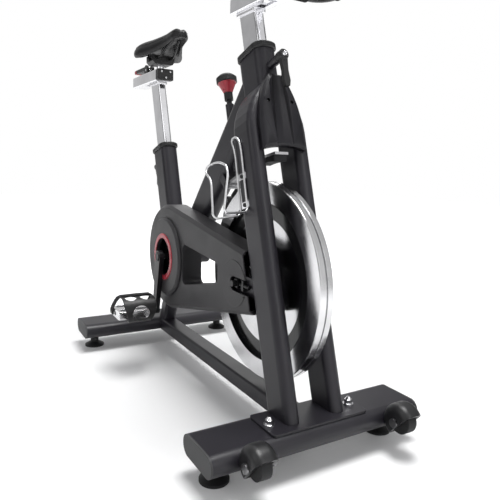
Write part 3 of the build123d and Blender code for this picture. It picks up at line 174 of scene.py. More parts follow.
def surface_grain():
    """Shared effect: fine cloudiness of a surface as a shade, a gloss change and a height."""
    group, get, give = new_group(
        "surface_grain", "ShaderNodeTree",
        takes=[("Grain Size", "Float", 900.0), ("Cloud Size", "Float", 14.0), ("Depth", "Float", 0.1)],
        gives=[("Shade", "Float"), ("Gloss", "Float"), ("Height", "Float")],
    )
    place = add_node(group, "ShaderNodeTexCoord").outputs["Object"]
    fine = add_node(group, "ShaderNodeTexNoise", {"Vector": place, "Scale": get.outputs["Grain Size"]})
    cloud_feeds = {"Vector": place, "Scale": get.outputs["Cloud Size"], "Detail": 4.0}
    cloud = add_node(group, "ShaderNodeTexNoise", cloud_feeds)
    for name, spread in (("Shade", (0.88, 1.12)), ("Gloss", (-0.04, 0.06))):
        group.links.new(rescaled(group, cloud.outputs["Fac"], (0.3, 0.7), spread), give.inputs[name])
    height = worked(group, "MULTIPLY", fine.outputs["Fac"], get.outputs["Depth"])
    group.links.new(height, give.inputs["Height"])
    return group


def worn_and_highlit_edges():
    """Shared effect: a mask of the outer edges, broken up, where a finish is paled, partly as rub wear and
    partly as a painted edge highlight.
    """
    group, get, give = new_group(
        "worn_and_highlit_edges", "ShaderNodeTree",
        takes=[("Reach", "Float", 0.0015)],
        gives=[("Mask", "Float"), ("Normal", "Vector")],
    )
    soft = add_node(group, "ShaderNodeBevel", {"Radius": get.outputs["Reach"]}, samples=4).outputs["Normal"]
    hard = add_node(group, "ShaderNodeNewGeometry").outputs["Normal"]
    turn = add_node(group, "ShaderNodeVectorMath", {0: soft, 1: hard}, operation="DOT_PRODUCT")
    edge = rescaled(group, turn.outputs["Value"], (0.995, 0.85), (0.0, 1.0))
    place = add_node(group, "ShaderNodeTexCoord").outputs["Object"]
    patchy = add_node(group, "ShaderNodeTexNoise", {"Vector": place, "Scale": 60.0}).outputs["Fac"]
    group.links.new(worked(group, "MULTIPLY", edge, patchy), give.inputs["Mask"])
    group.links.new(soft, give.inputs["Normal"])
    return group


grain_group = surface_grain()
pale_edge_group = worn_and_highlit_edges()
# How much paler the outer edges are made: partly rub wear, partly a painted highlight along the edges.
pale_edge_gain, pale_edge_lift = 1.7, 0.03
bump_strength, bump_distance = 0.35, 0.0006


def finish(
    name, colour, rough, metal=0.0, grain=900.0, cloud=14.0, depth=0.1, pale_edges=0.35, edge=0.0015, specular=0.5
):
    """A finish with grain, cloudiness, a fine bump and paler edges that are partly rub wear and partly a
    painted highlight.
    """
    material = bpy.data.materials.new(name)
    material.use_nodes = True
    tree = material.node_tree
    shader = tree.nodes["Principled BSDF"]
    shader.inputs["Metallic"].default_value = metal
    shader.inputs["Specular IOR Level"].default_value = specular
    sizes = {"Grain Size": grain, "Cloud Size": cloud, "Depth": depth}
    effect = add_node(tree, "ShaderNodeGroup", sizes, node_tree=grain_group)
    rim = add_node(tree, "ShaderNodeGroup", {"Reach": edge}, node_tree=pale_edge_group)
    shaded = {0: colour, "Scale": effect.outputs["Shade"]}
    tint = add_node(tree, "ShaderNodeVectorMath", shaded, operation="SCALE").outputs[0]
    # Paler colour on the outer edges: partly rub wear, partly a painted edge highlight.
    pale_edge_colour = [min(1.0, pale_edge_gain * c + pale_edge_lift) for c in colour]
    share = worked(tree, "MULTIPLY", rim.outputs["Mask"], pale_edges)
    tint_with_pale_edges = add_node(tree, "ShaderNodeMix", {"Factor": share, "A": tint, "B": (*pale_edge_colour, 1)}, data_type="RGBA")
    tree.links.new(tint_with_pale_edges.outputs["Result"], shader.inputs["Base Color"])
    gloss = {0: effect.outputs["Gloss"], 1: rough}
    dull = add_node(tree, "ShaderNodeMath", gloss, operation="ADD", use_clamp=True)
    tree.links.new(dull.outputs[0], shader.inputs["Roughness"])
    relief = {"Strength": bump_strength, "Distance": bump_distance}
    relief.update({"Height": effect.outputs["Height"], "Normal": rim.outputs["Normal"]})
    bump = add_node(tree, "ShaderNodeBump", relief)
    tree.links.new(bump.outputs[0], shader.inputs["Normal"])
    return material


def wear(material, *names):
    """Gives CAD nodes a finish."""
    for name in names:
        mesh = node[name].data
        mesh.materials.clear()
        mesh.materials.append(material)
        for face in mesh.polygons:
            face.material_index = 0


graphite_tint = (0.0150, 0.0138, 0.0182)
graphite = finish("graphite_coat", graphite_tint, 0.38, grain=700, cloud=9, depth=0.25, specular=0.36)
wear(
    graphite, "front_stabilizer", "rear_stabilizer", "lower_beam", "fork_leg_right", "fork_leg_left",
    "head_tube", "main_tube", "seat_tube", "rear_strut", "bottom_bracket_shell", "front_mount_plate",
    "brake_bracket",
)

# Ends and feet of the stabilisers: grey nylon caps pressed into the tubes and black moulded
# levelling feet on threaded studs.
end_grey = finish("end_cap_grey", (0.05, 0.05, 0.052), 0.6, grain=1200, depth=0.3, specular=0.35)
wear(end_grey, "stabilizer_end_caps")
foot_black = finish("foot_nylon", (0.010, 0.010, 0.011), 0.55, grain=1400, depth=0.4, specular=0.35)
wear(foot_black, "levelling_feet")


# Fasteners: chromed acorn nuts, gunmetal wheel bolts, zinc-plated bearings, and a blackened
# flywheel axle with its nuts and belt tensioners.
def wear_where(material, name, chosen):
    """Gives a second finish to the faces of a CAD node whose middles pass a test."""
    mesh = node[name].data
    mesh.materials.append(material)
    for face in mesh.polygons:
        if chosen(face.center):
            face.material_index = 1


chrome = finish("chrome_plate", (0.74, 0.74, 0.76), 0.12, metal=1.0, depth=0.0, pale_edges=0.1, edge=0.0008)
wear(chrome, "base_fasteners")
zinc = finish("zinc_steel", (0.52, 0.52, 0.53), 0.28, metal=1.0, depth=0.05, pale_edges=0.2, edge=0.0006)
wear(zinc, "flywheel_bearings", "crank_bearings", "crank_axle")
gunmetal = finish("gunmetal_plate", (0.20, 0.20, 0.205), 0.30, metal=1.0, depth=0.05, pale_edges=0.2, edge=0.0006)
wheel_bolts_from = crank_x + 0.690
wear_where(gunmetal, "base_fasteners", lambda middle: middle.x > wheel_bolts_from)
black_oxide = finish("black_oxide", (0.02, 0.02, 0.021), 0.35, metal=0.6, depth=0.1, pale_edges=0.4, edge=0.0006)
wear(black_oxide, "axle_fasteners", "flywheel_axle")

# Transport wheels: solid rubber tyres on through bolts, under round moulded domes that are fixed
# to the front stabiliser, hollowed for the tyres and cut away below and in front.
tyre_black = (0.011, 0.011, 0.012)
tyre = finish("tyre_rubber", tyre_black, 0.7, grain=800, depth=0.6, pale_edges=0.1, edge=0.005, specular=0.35)
wear(tyre, "transport_wheel_right", "transport_wheel_left")
dome = finish("dome_plastic", (0.010, 0.010, 0.011), 0.40, grain=1500, depth=0.4, specular=0.42)


def at_crank(x, y, z):
    """A place given in millimetres from the crank axis, in metres from the frame's origin."""
    return Vector((crank_x + x / 1000, y / 1000, z / 1000))


def full_turn(steps):
    """Even angles once round."""
    return [2 * math.pi * j / steps for j in range(steps)]


def smooth(mesh, angle):
    """Smooth shading, broken at edges sharper than an angle in degrees."""
    for face in mesh.polygons:
        face.use_smooth = True
    mesh.set_sharp_from_angle(angle=math.radians(angle))


def skin(name, rings, material, ends=True):
    """A piece skinned over rings of points, with its faces turned outwards and its ends closed."""
    count, total = len(rings[0]), len(rings)
    points = [p for ring in rings for p in ring]
    faces = []
    for near in range(0, (total - 1) * count, count):
        for j in range(count):
            k = (j + 1) % count
            faces.append((near + j, near + k, near + count + k, near + count + j))
    if ends:
        faces.append(tuple(reversed(range(count))))
        faces.append(tuple(range((total - 1) * count, total * count)))
    mesh = bpy.data.meshes.new(name)
    mesh.from_pydata(points, [], faces)
    shell = bmesh.new()
    shell.from_mesh(mesh)
    bmesh.ops.recalc_face_normals(shell, faces=shell.faces)
    shell.to_mesh(mesh)
    shell.free()
    mesh.materials.append(material)
    smooth(mesh, 50)
    return put(name, mesh)


def drum(name, centre, outline, material, steps=72):
    """A turned solid round a line along Y, from places along it and radii, in millimetres."""
    x, y, z = centre
    rings = []
    for along, radius in outline:
        places = [(x + radius * math.cos(t), y + along, z + radius * math.sin(t)) for t in full_turn(steps)]
        rings.append([at_crank(*place) for place in places])
    return skin(name, rings, material)


def carved(piece, *cutters):
    """Cuts solids out of a piece, one after another."""
    for cutter in cutters:
        cut = piece.modifiers.new("cut", "BOOLEAN")
        cut.operation, cut.solver, cut.object = "DIFFERENCE", "EXACT", cutter
    ready = piece.evaluated_get(bpy.context.evaluated_depsgraph_get())
    piece.data = bpy.data.meshes.new_from_object(ready)
    piece.modifiers.clear()
    for cutter in cutters:
        bpy.data.objects.remove(cutter)
    piece.data.set_sharp_from_angle(angle=math.radians(40))


wheel_x, wheel_z, wheel_side = 713, 82, 184.5
dome_radius, dome_half, shoulder = 40, 27, 19
well_radius, well_half = 32, 16
mouth_turn, mouth_offset, mouth_depth = math.radians(42), 9, 90
mouth_half_width, mouth_half_height = 40, 90
shoulder_turns = [math.pi / 2 * k / 10 for k in range(11)]
near_shoulder = []
for turn in shoulder_turns:
    inset = shoulder * (1 - math.cos(turn))
    near_shoulder.append((-dome_half + inset, dome_radius - shoulder * (1 - math.sin(turn))))
dome_outline = near_shoulder + [(-along, radius) for along, radius in reversed(near_shoulder)]
well_outline = [(-well_half, well_radius), (well_half, well_radius)]
for name, y in (("right", -wheel_side), ("left", wheel_side)):
    cap = drum("wheel_dome_" + name, (wheel_x, y, wheel_z), dome_outline, dome)
    well = drum("well", (wheel_x, y, wheel_z), well_outline, dome)
    mouth_rings = []
    for out in (mouth_offset, mouth_offset + mouth_depth):
        ring = []
        for u, v in ((-1, -1), (1, -1), (1, 1), (-1, 1)):
            across, up = u * mouth_half_width, v * mouth_half_height
            x = wheel_x + out * math.cos(mouth_turn) + up * math.sin(mouth_turn)
            z = wheel_z - out * math.sin(mouth_turn) + up * math.cos(mouth_turn)
            ring.append(at_crank(x, y + across, z))
        mouth_rings.append(ring)
    carved(cap, well, skin("mouth", mouth_rings, dome))
    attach(cap, "frame")
    if name == "right":
        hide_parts("wheel_housings")

# Fork shroud: a charcoal ABS moulding with a fine spark texture, fixed in the arch of the fork
# by two screws that sit deep in its wells. Its skirt reaches down in front of the brake arm.
shroud_skin = finish("shroud_skin", (0.0105, 0.0098, 0.0128), 0.36, grain=1500, depth=0.35, specular=0.26)
rake = math.radians(17.4)
fork_way = (math.cos(rake), 0, math.sin(rake))
shroud_x, shroud_z = 415.2, 668
shroud_foot, shroud_rise = at_crank(shroud_x, 0, shroud_z), Vector((-fork_way[2], 0, fork_way[0]))
skirt_reach, skirt_drop, merge_distance = 0.0185, 0.030, 1e-6
moulding = bmesh.new()
moulding.from_mesh(node["fork_shroud"].data)
bmesh.ops.remove_doubles(moulding, verts=moulding.verts, dist=merge_distance)
for corner in moulding.verts:
    if (corner.co - shroud_foot).dot(shroud_rise) < skirt_reach:
        corner.co -= skirt_drop * shroud_rise
shroud_mesh = bpy.data.meshes.new("shroud_moulding")
moulding.to_mesh(shroud_mesh)
moulding.free()
shroud_mesh.materials.append(shroud_skin)
smooth(shroud_mesh, 25)
shroud = put("shroud_moulding", shroud_mesh)
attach(shroud, "frame")
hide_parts("fork_shroud")


def repeated(group, points, shape, feeds, material):
    """A shape on every point, made real and given its material."""
    spread = {"Points": points, "Instance": shape, **feeds}
    on_points = add_node(group, "GeometryNodeInstanceOnPoints", spread)
    real = add_node(group, "GeometryNodeRealizeInstances", {"Geometry": on_points.outputs["Instances"]})
    painted = {"Geometry": real.outputs["Geometry"], "Material": material}
    return add_node(group, "GeometryNodeSetMaterial", painted).outputs["Geometry"]


def screw_heads():
    """A conical head with a hexagon socket on every point, turned along the point's way."""
    group, get, give = new_group(
        "screw_heads", "GeometryNodeTree",
        takes=[
            ("Spots", "Geometry"), ("Head Radius", "Float", 0.004), ("Head Height", "Float", 0.003),
            ("Socket Radius", "Float", 0.002), ("Finish", "Material"),
        ],
        gives=[("Heads", "Geometry")],
    )
    narrow = worked(group, "MULTIPLY", get.outputs["Head Radius"], 0.8)
    cone = {"Vertices": 20, "Radius Top": narrow, "Radius Bottom": get.outputs["Head Radius"]}
    cone["Depth"] = get.outputs["Head Height"]
    head = add_node(group, "GeometryNodeMeshCone", cone).outputs["Mesh"]
    hexagon = {"Vertices": 6, "Radius": get.outputs["Socket Radius"], "Depth": get.outputs["Head Height"]}
    key = add_node(group, "GeometryNodeMeshCylinder", hexagon).outputs["Mesh"]
    up = add_node(group, "ShaderNodeCombineXYZ", {"Z": get.outputs["Head Height"]}).outputs[0]
    raised = add_node(group, "GeometryNodeTransform", {"Geometry": key, "Translation": up})
    solids = {"Mesh 1": head, "Mesh 2": raised.outputs["Geometry"]}
    cut = add_node(group, "GeometryNodeMeshBoolean", solids, operation="DIFFERENCE").outputs["Mesh"]
    named = add_node(group, "GeometryNodeInputNamedAttribute", {"Name": "way"}, data_type="FLOAT_VECTOR")
    way = named.outputs["Attribute"]
    turn = add_node(group, "FunctionNodeAlignRotationToVector", {"Vector": way}, axis="Z")
    turned = {"Rotation": turn.outputs["Rotation"]}
    heads = repeated(group, get.outputs["Spots"], cut, turned, get.outputs["Finish"])
    group.links.new(heads, give.inputs["Heads"])
    return group


def grown(name, seed_mesh, group, values, body):
    """Runs a node group on a mesh and keeps what it makes as a piece that rides on a body."""
    seed = put(name + "_seed", seed_mesh)
    step = seed.modifiers.new("grow", "NODES")
    step.node_group = group
    for item in group.interface.items_tree:
        if item.in_out == "INPUT" and item.name in values:
            step[item.identifier] = values[item.name]
    seed.update_tag()
    ready = seed.evaluated_get(bpy.context.evaluated_depsgraph_get())
    mesh = bpy.data.meshes.new_from_object(ready)
    bpy.data.objects.remove(seed)
    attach(put(name, mesh), body)


screw_group = screw_heads()


def screws(name, spots, way, material, body, radius, height):
    """Screw heads at places given in millimetres from the crank axis, all facing one way."""
    mesh = bpy.data.meshes.new(name + "_spots")
    mesh.from_pydata([at_crank(*spot) for spot in spots], [], [])
    ways = mesh.attributes.new("way", "FLOAT_VECTOR", "POINT")
    for entry in ways.data:
        entry.vector = way
    values = {"Head Radius": radius, "Head Height": height, "Socket Radius": 0.5 * radius, "Finish": material}
    grown(name, mesh, screw_group, values, body)


well_out, well_up, well_side = 62, 79.5, 31
well_x = shroud_x + well_out * fork_way[0] - well_up * fork_way[2]
well_z = shroud_z + well_out * fork_way[2] + well_up * fork_way[0]
well_spots = [(well_x, -well_side, well_z), (well_x, well_side, well_z)]
screws("shroud_screws", well_spots, fork_way, zinc, "frame", radius=0.0036, height=0.003)

# Collars and clamp levers: black glass-filled nylon with a satin face. Each clamp lever is held
# on its screw by a chromed cap screw in the middle of its hub.
black = finish("black_nylon", (0.008, 0.008, 0.0085), 0.42, grain=1400, depth=0.4, specular=0.38)
wear(black, "post_collars", "seat_post_lever", "bar_post_lever")
lean = math.radians(17)
back_way = (-math.cos(lean), 0, -math.sin(lean))
bar_hub, seat_hub = (467.8, 0, 864.6), (-309.1, 0, 608.0)
screws("bar_hub_screw", [bar_hub], fork_way, chrome, "bar_post_lever", radius=0.0062, height=0.004)
screws("seat_hub_screw", [seat_hub], back_way, chrome, "seat_post_lever", radius=0.0062, height=0.004)

# Cranks: forged steel arms, painted black, on a plain axle. A round moulded dust cap is pressed
# over the axle bolt in each arm's boss.
crank_paint = finish("crank_paint", (0.0075, 0.007, 0.0085), 0.36, grain=900, depth=0.15, specular=0.22)
wear(crank_paint, "crank_arm_right", "crank_arm_left")
cap_paint = finish("dust_cap", (0.022, 0.022, 0.024), 0.45, grain=1400, depth=0.3, specular=0.3)
boss_face, crank_z = 113.7, 346
cap_outline = [(0, 13.2), (1.9, 13.2), (2.9, 12.2), (3.2, 10.6), (2.6, 9.6), (2.8, 3)]
for side, way in (("right", -1), ("left", 1)):
    turned_out = [(way * along, radius) for along, radius in cap_outline]
    cap = drum(f"crank_cap_{side}", (0, way * boss_face, crank_z), turned_out, cap_paint, steps=40)
    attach(cap, "crank")

# Pedals: cast aluminium platforms with a bright tumbled skin, each turning on a zinc-plated
# spindle that is screwed into its crank arm.
alloy = finish("tumbled_alloy", (0.70, 0.70, 0.71), 0.24, metal=1.0, grain=1100, depth=0.12, pale_edges=0.3)
wear(alloy, "pedal_right", "pedal_left")
wear(zinc, "pedal_spindles")

# Toe cages: black nylon clips, moulded in one piece with a large round opening in front and two
# above, and bolted to the pedals' front edges. A woven strap slants back to the rear corners.
pedal_side, clip_thick, clip_rim = 0.184, 3, 1.0
bow_x, bow_z, bow_radius, bow_from, bow_sweep, bow_steps = 52, 20, 37, -58, 150, 14
foot_half, leaf_half, widening_steps = 30, 48, 10
front_hole_z, front_hole_wide, front_hole_tall, front_cut = 15, 25, 24, (60, 110)
leaf_hole_x, leaf_hole_side, leaf_hole_long, leaf_hole_wide, leaf_cut = 58, 22.5, 15, 17, (42, 80)
strap_half, strap_thick = 12, 1.1
strap_run = [
    (-31, 51.6, -9), (-30, 52.8, 0), (-24, 53.6, 8), (-4, 53.8, 26), (16, 53, 43), (29, 50.5, 54),
    (36, 43, 59.6), (38, 18, 60.6), (38, 0, 60.7),
]
webbing = finish("strap_webbing", (0.010, 0.010, 0.0105), 0.8, grain=1300, depth=0.9, pale_edges=0.0, specular=0.25)


def clip_ring(x, z, out_x, out_z, half):
    """One cross-section of the clip's curved sheet, square to its side outline."""
    size = math.hypot(out_x, out_z)
    nx, nz = clip_thick / 2 * out_x / size, clip_thick / 2 * out_z / size
    inner = half - clip_rim
    return [
        (x + nx, -inner, z + nz), (x + nx, inner, z + nz), (x, half, z), (x - nx, inner, z - nz),
        (x - nx, -inner, z - nz), (x, -half, z),
    ]


def clip_rings():
    """The clip's sheet from the pedal's front edge up round the bow and back over the toes."""
    places = [(43, -11.5, 1, -1.5), (51, -11, 1, -2)]
    for k in range(bow_steps + 1):
        turn = math.radians(bow_from + bow_sweep * k / bow_steps)
        out_x, out_z = math.cos(turn), math.sin(turn)
        places.append((bow_x + bow_radius * out_x, bow_z + bow_radius * out_z, out_x, out_z))
    places += [(42, 57, -0.05, 1), (30, 57, -0.05, 1)]
    widening = [min(1, i / widening_steps) for i in range(len(places))]
    return [clip_ring(*p, foot_half + (leaf_half - foot_half) * w) for p, w in zip(places, widening)]


def strap_rings():
    """The strap from one rear corner of the pedal over the clip to the other."""
    route = strap_run + [(x, -y, z) for x, y, z in reversed(strap_run[:-1])]
    rings = []
    for i, (x, y, z) in enumerate(route):
        before, after = route[max(i - 1, 0)], route[min(i + 1, len(route) - 1)]
        ny, nz = after[2] - before[2], before[1] - after[1]
        lift = strap_thick / math.hypot(ny, nz)
        corners = ((-strap_half, -lift), (-strap_half, lift), (strap_half, lift), (strap_half, -lift))
        rings.append([(x + along, y + out * ny, z + out * nz) for along, out in corners])
    return rings


def toe_cage(name, side):
    """A clip and its strap, made about the pedal's middle and moved there."""
    low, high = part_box("pedal_" + name)
    middle = Vector(((low[0] + high[0]) / 2, side * pedal_side, (low[2] + high[2]) / 2))

    def placed(rings):
        return [[middle + Vector((x, side * -y, z)) / 1000 for x, y, z in ring] for ring in rings]

    clip = skin("toe_clip_" + name, placed(clip_rings()), black)
    circle = [(math.cos(t), math.sin(t)) for t in full_turn(40)]
    oval = [(front_hole_wide * u, front_hole_z + front_hole_tall * v) for u, v in circle]
    front = [[(x, y, z) for y, z in oval] for x in front_cut]
    cutters = [skin("front_hole", placed(front), black)]
    for across in (-leaf_hole_side, leaf_hole_side):
        oval = [(leaf_hole_x + leaf_hole_long * u, across + leaf_hole_wide * v) for u, v in circle]
        leaf = [[(x, y, z) for x, y in oval] for z in leaf_cut]
        cutters.append(skin("leaf_hole", placed(leaf), black))
    carved(clip, *cutters)
    band = skin("toe_strap_" + name, placed(strap_rings()), webbing)
    for piece in (clip, band):
        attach(piece, "pedal_" + name)
    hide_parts("toe_cage_" + name)


toe_cage("right", -1)
toe_cage("left", 1)

# Belt drive: a ribbed rubber belt from the large crank pulley to the small one on the flywheel,
# both turned from steel with a gunmetal plating.
wear(tyre, "drive_belt")
wear(gunmetal, "crank_pulley", "flywheel_pulley")

# Drive cover: charcoal ABS in two halves, with a raised disc over the crank, a red trim ring that
# is moulded in its colour, and a thin plate, open to the front, screwed on round the axle.
charcoal = finish("charcoal_plastic", (0.0245, 0.0235, 0.0258), 0.46, grain=1500, depth=0.5, specular=0.36)
wear(charcoal, "drive_cover", "inner_cover", "cover_disc")
red = finish("red_plastic", (0.42, 0.022, 0.04), 0.28, grain=1000, depth=0.1, pale_edges=0.2)
wear(red, "cover_ring")
axle_x, axle_z, plate_radius, slot_half, plate_face, plate_thick = 422, 351, 55, 17, -86, 0.0009
slot_turn = math.asin(slot_half / plate_radius)
plate_turns = [slot_turn + 2 * (math.pi - slot_turn) * i / 96 for i in range(97)]
slot_turns = [math.pi * i / 24 for i in range(25)]
outline = [(plate_radius * math.cos(t), plate_radius * math.sin(t)) for t in plate_turns]
outline += [(-slot_half * math.sin(t), -slot_half * math.cos(t)) for t in slot_turns]
plate_points = [at_crank(axle_x + x, plate_face, axle_z + z) for x, z in outline]
plate_mesh = bpy.data.meshes.new("axle_plate")
plate_mesh.from_pydata(plate_points, [], [tuple(range(len(outline)))])
plate_mesh.materials.append(charcoal)
axle_plate = put("axle_plate", plate_mesh)
thicken = axle_plate.modifiers.new("thick", "SOLIDIFY")
thicken.thickness, thicken.offset = plate_thick, 1.0
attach(axle_plate, "frame")
right_way = (0, -1, 0)
plate_spots = [(470, plate_face, 381), (470, plate_face, 328)]
screws("cover_screws", plate_spots, right_way, black_oxide, "frame", radius=0.0034, height=0.002)

# Flywheel: turned and polished cast iron with fine lathe rings, and a black painted band on the
# web just inside the heavy rim.
band_radius, band_half, band_paint = 0.172, 0.0195, (0.012, 0.012, 0.013, 1)


def new_relief(material, height, distance):
    """Puts another height behind the bump of a finish."""
    tree = material.node_tree
    bump = next(n for n in tree.nodes if n.bl_idname == "ShaderNodeBump")
    tree.links.new(height, bump.inputs["Height"])
    bump.inputs["Distance"].default_value = distance


def lathe_iron():
    """Polished iron whose colour and gloss change with the distance from the axle."""
    material = finish("polished_iron", (0.62, 0.62, 0.63), 0.16, metal=1.0, depth=0.02, pale_edges=0.1)
    tree = material.node_tree
    shader = tree.nodes["Principled BSDF"]
    place = add_node(tree, "ShaderNodeTexCoord").outputs["Object"]
    axle = at_crank(axle_x, 0, axle_z)
    across = add_node(tree, "ShaderNodeVectorMath", {0: place, 1: axle}, operation="SUBTRACT").outputs[0]
    flat = add_node(tree, "ShaderNodeVectorMath", {0: across, 1: (1, 0, 1)}, operation="MULTIPLY").outputs[0]
    radius = add_node(tree, "ShaderNodeVectorMath", {0: flat}, operation="LENGTH").outputs["Value"]
    band = worked(tree, "COMPARE", radius, band_radius, band_half)
    tree.links.new(worked(tree, "SUBTRACT", 1.0, band), shader.inputs["Metallic"])
    iron_colour = shader.inputs["Base Color"].links[0].from_socket
    colours = {"Factor": band, "A": iron_colour, "B": band_paint}
    painted = add_node(tree, "ShaderNodeMix", colours, data_type="RGBA")
    tree.links.new(painted.outputs["Result"], shader.inputs["Base Color"])
    rings = add_node(tree, "ShaderNodeTexNoise", {"W": radius, "Scale": 700.0}, noise_dimensions="1D")
    new_relief(material, rings.outputs["Fac"], 0.00012)
    return material


wear(lathe_iron(), "flywheel")

# Posts and sliders: chromed steel tubes. The saddle's slider is plugged at the front by a black
# cap with three small screws.
wear(chrome, "seat_post", "handlebar_post", "seat_slider", "bar_slider")
wear(black, "slider_end_cap")
cap_spots = [(-230, -15, 922), (-230, 15, 922), (-230, 0, 903)]
screws("cap_screws", cap_spots, (1, 0, 0), zinc, "seat_slider", radius=0.0036, height=0.0022)

# Slider levers: black nylon cams that turn on the eye bolts and pull them tight, each with a red
# rubber cap slipped over the tip of its arm.
wear(black, "seat_slider_lever", "bar_slider_lever")
tip_half_width, tip_half_height, tip_bevel = 13.6, 6.7, 4


def lever_tip(name, end, root, z, body):
    """A rounded cap along X, from the lever's end to the cap's root, in millimetres."""
    way = math.copysign(1, root - end)
    stations = [
        (end, 0.55), (end + 1.2 * way, 0.92), (end + 3 * way, 1.0), (root - 1.2 * way, 1.0), (root, 0.96),
    ]
    rings = []
    for x, share in stations:
        ring = []
        for corner, (side, up) in enumerate(((1, 1), (-1, 1), (-1, -1), (1, -1))):
            for step in range(5):
                turn = math.radians(90 * corner + 22.5 * step)
                across = side * (tip_half_width * share - tip_bevel) + tip_bevel * math.cos(turn)
                rise = up * (tip_half_height * share - tip_bevel) + tip_bevel * math.sin(turn)
                ring.append(at_crank(x, across, z + rise))
        rings.append(ring)
    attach(skin(name, rings, red_rubber), body)


red_rubber = finish("red_rubber", (0.45, 0.02, 0.035), 0.42, grain=900, depth=0.3, pale_edges=0.1)
lever_tip("seat_lever_tip", -516, -497, 954, "seat_slider_lever")
lever_tip("bar_lever_tip", 496, 477, 1044, "bar_slider_lever")


# Saddle: moulded foam under a stitched black cover, wide and winged behind and narrow at the
# raised nose, with a hollow channel along its middle. Its sides are drawn in to the base.
def stitch_run():
    """Thread stitches laid end to end along an edge path."""
    group, get, give = new_group(
        "stitch_run", "GeometryNodeTree",
        takes=[
            ("Seam", "Geometry"), ("Pitch", "Float", 0.0042), ("Stitch Length", "Float", 0.0030),
            ("Thread Width", "Float", 0.0009), ("Thread", "Material"),
        ],
        gives=[("Stitches", "Geometry")],
    )
    line = add_node(group, "GeometryNodeMeshToCurve", {"Mesh": get.outputs["Seam"]}).outputs["Curve"]
    spaced = {"Curve": line, "Length": get.outputs["Pitch"]}
    even = add_node(group, "GeometryNodeResampleCurve", spaced, mode="LENGTH").outputs["Curve"]
    stitch = add_node(group, "GeometryNodeMeshUVSphere", {"Segments": 8, "Rings": 6, "Radius": 0.5})
    sides = (("X", "Stitch Length"), ("Y", "Thread Width"), ("Z", "Thread Width"))
    size = add_node(group, "ShaderNodeCombineXYZ", {axis: get.outputs[name] for axis, name in sides})
    along = add_node(group, "GeometryNodeInputTangent").outputs[0]
    turn = add_node(group, "FunctionNodeAlignRotationToVector", {"Vector": along}, axis="X")
    laid = {"Rotation": turn.outputs["Rotation"], "Scale": size.outputs[0]}
    stitches = repeated(group, even, stitch.outputs["Mesh"], laid, get.outputs["Thread"])
    group.links.new(stitches, give.inputs["Stitches"])
    return group


def eased(before, start, end, after, share):
    """A point between start and end on a smooth line through four values."""
    a, b, c = end - before, 2 * before - 5 * start + 4 * end - after, 3 * (start - end) + after - before
    return start + 0.5 * share * (a + share * (b + share * c))


# Each station has its share of the length, half width, crest, edge, lower rim, draw-in and channel.
saddle_stations = [
    (0.00, 48.0, 26.4, 4, -6, 8, 2), (0.09, 73.6, 32.6, -4, -14, 10, 6), (0.26, 80.0, 33.9, -9, -19, 12, 8),
    (0.48, 57.6, 35.6, -3, -13, 10, 8), (0.70, 35.4, 40.0, 10, 0, 7, 5), (0.93, 26.7, 44.9, 21, 12, 5, 3),
    (1.00, 15.9, 37.0, 22, 15, 4, 1.5),
]
saddle_tail, saddle_length, saddle_base, pad_depth = -362, 268, 987, 24
seam_corners, seam_pull = (3, 11), 0.985


def saddle_ring(share, shrink=1.0, shift=0.0):
    """One ring of the cover, a share of the way from the tail to the nose."""
    last = len(saddle_stations) - 1
    i = max(j for j in range(last) if saddle_stations[j][0] <= share)
    near = [saddle_stations[min(max(k, 0), last)] for k in (i - 1, i, i + 1, i + 2)]
    part = (share - near[1][0]) / (near[2][0] - near[1][0])
    half, crest, edge, low, drawn, channel = (eased(*(n[k] for n in near), part) for k in range(1, 7))
    up, vault = crest - edge, max(crest - pad_depth, low + 1)
    right = [
        (0, crest - channel), (0.42 * half, crest), (0.74 * half, edge + 0.82 * up),
        (0.93 * half, edge + 0.46 * up), (half, edge), (half - drawn, low), (0.42 * half, vault), (0, vault),
    ]
    loop = right + [(-y, z) for y, z in reversed(right[1:-1])]
    middle = (crest + low) / 2
    x = saddle_tail + saddle_length * share + shift
    ring = []
    for j in range(len(loop)):
        four = [loop[(j + k) % len(loop)] for k in (-1, 0, 1, 2)]
        for step in range(4):
            y, z = (eased(*(p[k] for p in four), step / 4) for k in (0, 1))
            pull = seam_pull if step == 0 and j in seam_corners else 1.0
            ring.append(at_crank(x, y * shrink * pull, saddle_base + middle + (z - middle) * shrink))
    return ring


def leather():
    """Black cover material with a fine pebbled grain."""
    hide = (0.006, 0.006, 0.0065)
    material = finish("saddle_cover", hide, 0.42, grain=500, cloud=20, depth=0.2, pale_edges=0.0, specular=0.3)
    tree = material.node_tree
    place = add_node(tree, "ShaderNodeTexCoord").outputs["Object"]
    pebble = add_node(tree, "ShaderNodeTexVoronoi", {"Vector": place, "Scale": 620.0})
    new_relief(material, pebble.outputs["Distance"], 0.0005)
    return material


end_rings = ((0.35, 3.5), (0.72, 2.5), (0.93, 0.5))
ring_steps = 44
cover_rings = [saddle_ring(0, shrink, -reach) for shrink, reach in end_rings]
cover_rings += [saddle_ring(i / ring_steps) for i in range(1, ring_steps)]
cover_rings += [saddle_ring(1, shrink, reach) for shrink, reach in reversed(end_rings)]
cushion = skin("saddle_cushion", cover_rings, leather())
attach(cushion, "seat_slider")
smoother = cushion.modifiers.new("round", "SUBSURF")
smoother.levels = smoother.render_levels = 1
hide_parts("saddle")
thread = finish("saddle_thread", (0.022, 0.022, 0.023), 0.6, grain=2000, depth=0.2, pale_edges=0.0, specular=0.3)
thread_out, thread_up = 1.008, 0.0003
seam_places, seam_margin = (("stitches_right", 45), ("stitches_left", 11)), 4
stitch_group = stitch_run()
for name, place in seam_places:
    seam = [ring[place] for ring in cover_rings[seam_margin:-seam_margin]]
    seam = [(x, thread_out * y, z + thread_up) for x, y, z in seam]
    line = bpy.data.meshes.new(name + "_seam")
    line.from_pydata(seam, [(i, i + 1) for i in range(len(seam) - 1)], [])
    grown(name, line, stitch_group, {"Thread": thread}, "seat_slider")
wear(black, "saddle_rails", "saddle_clamp")

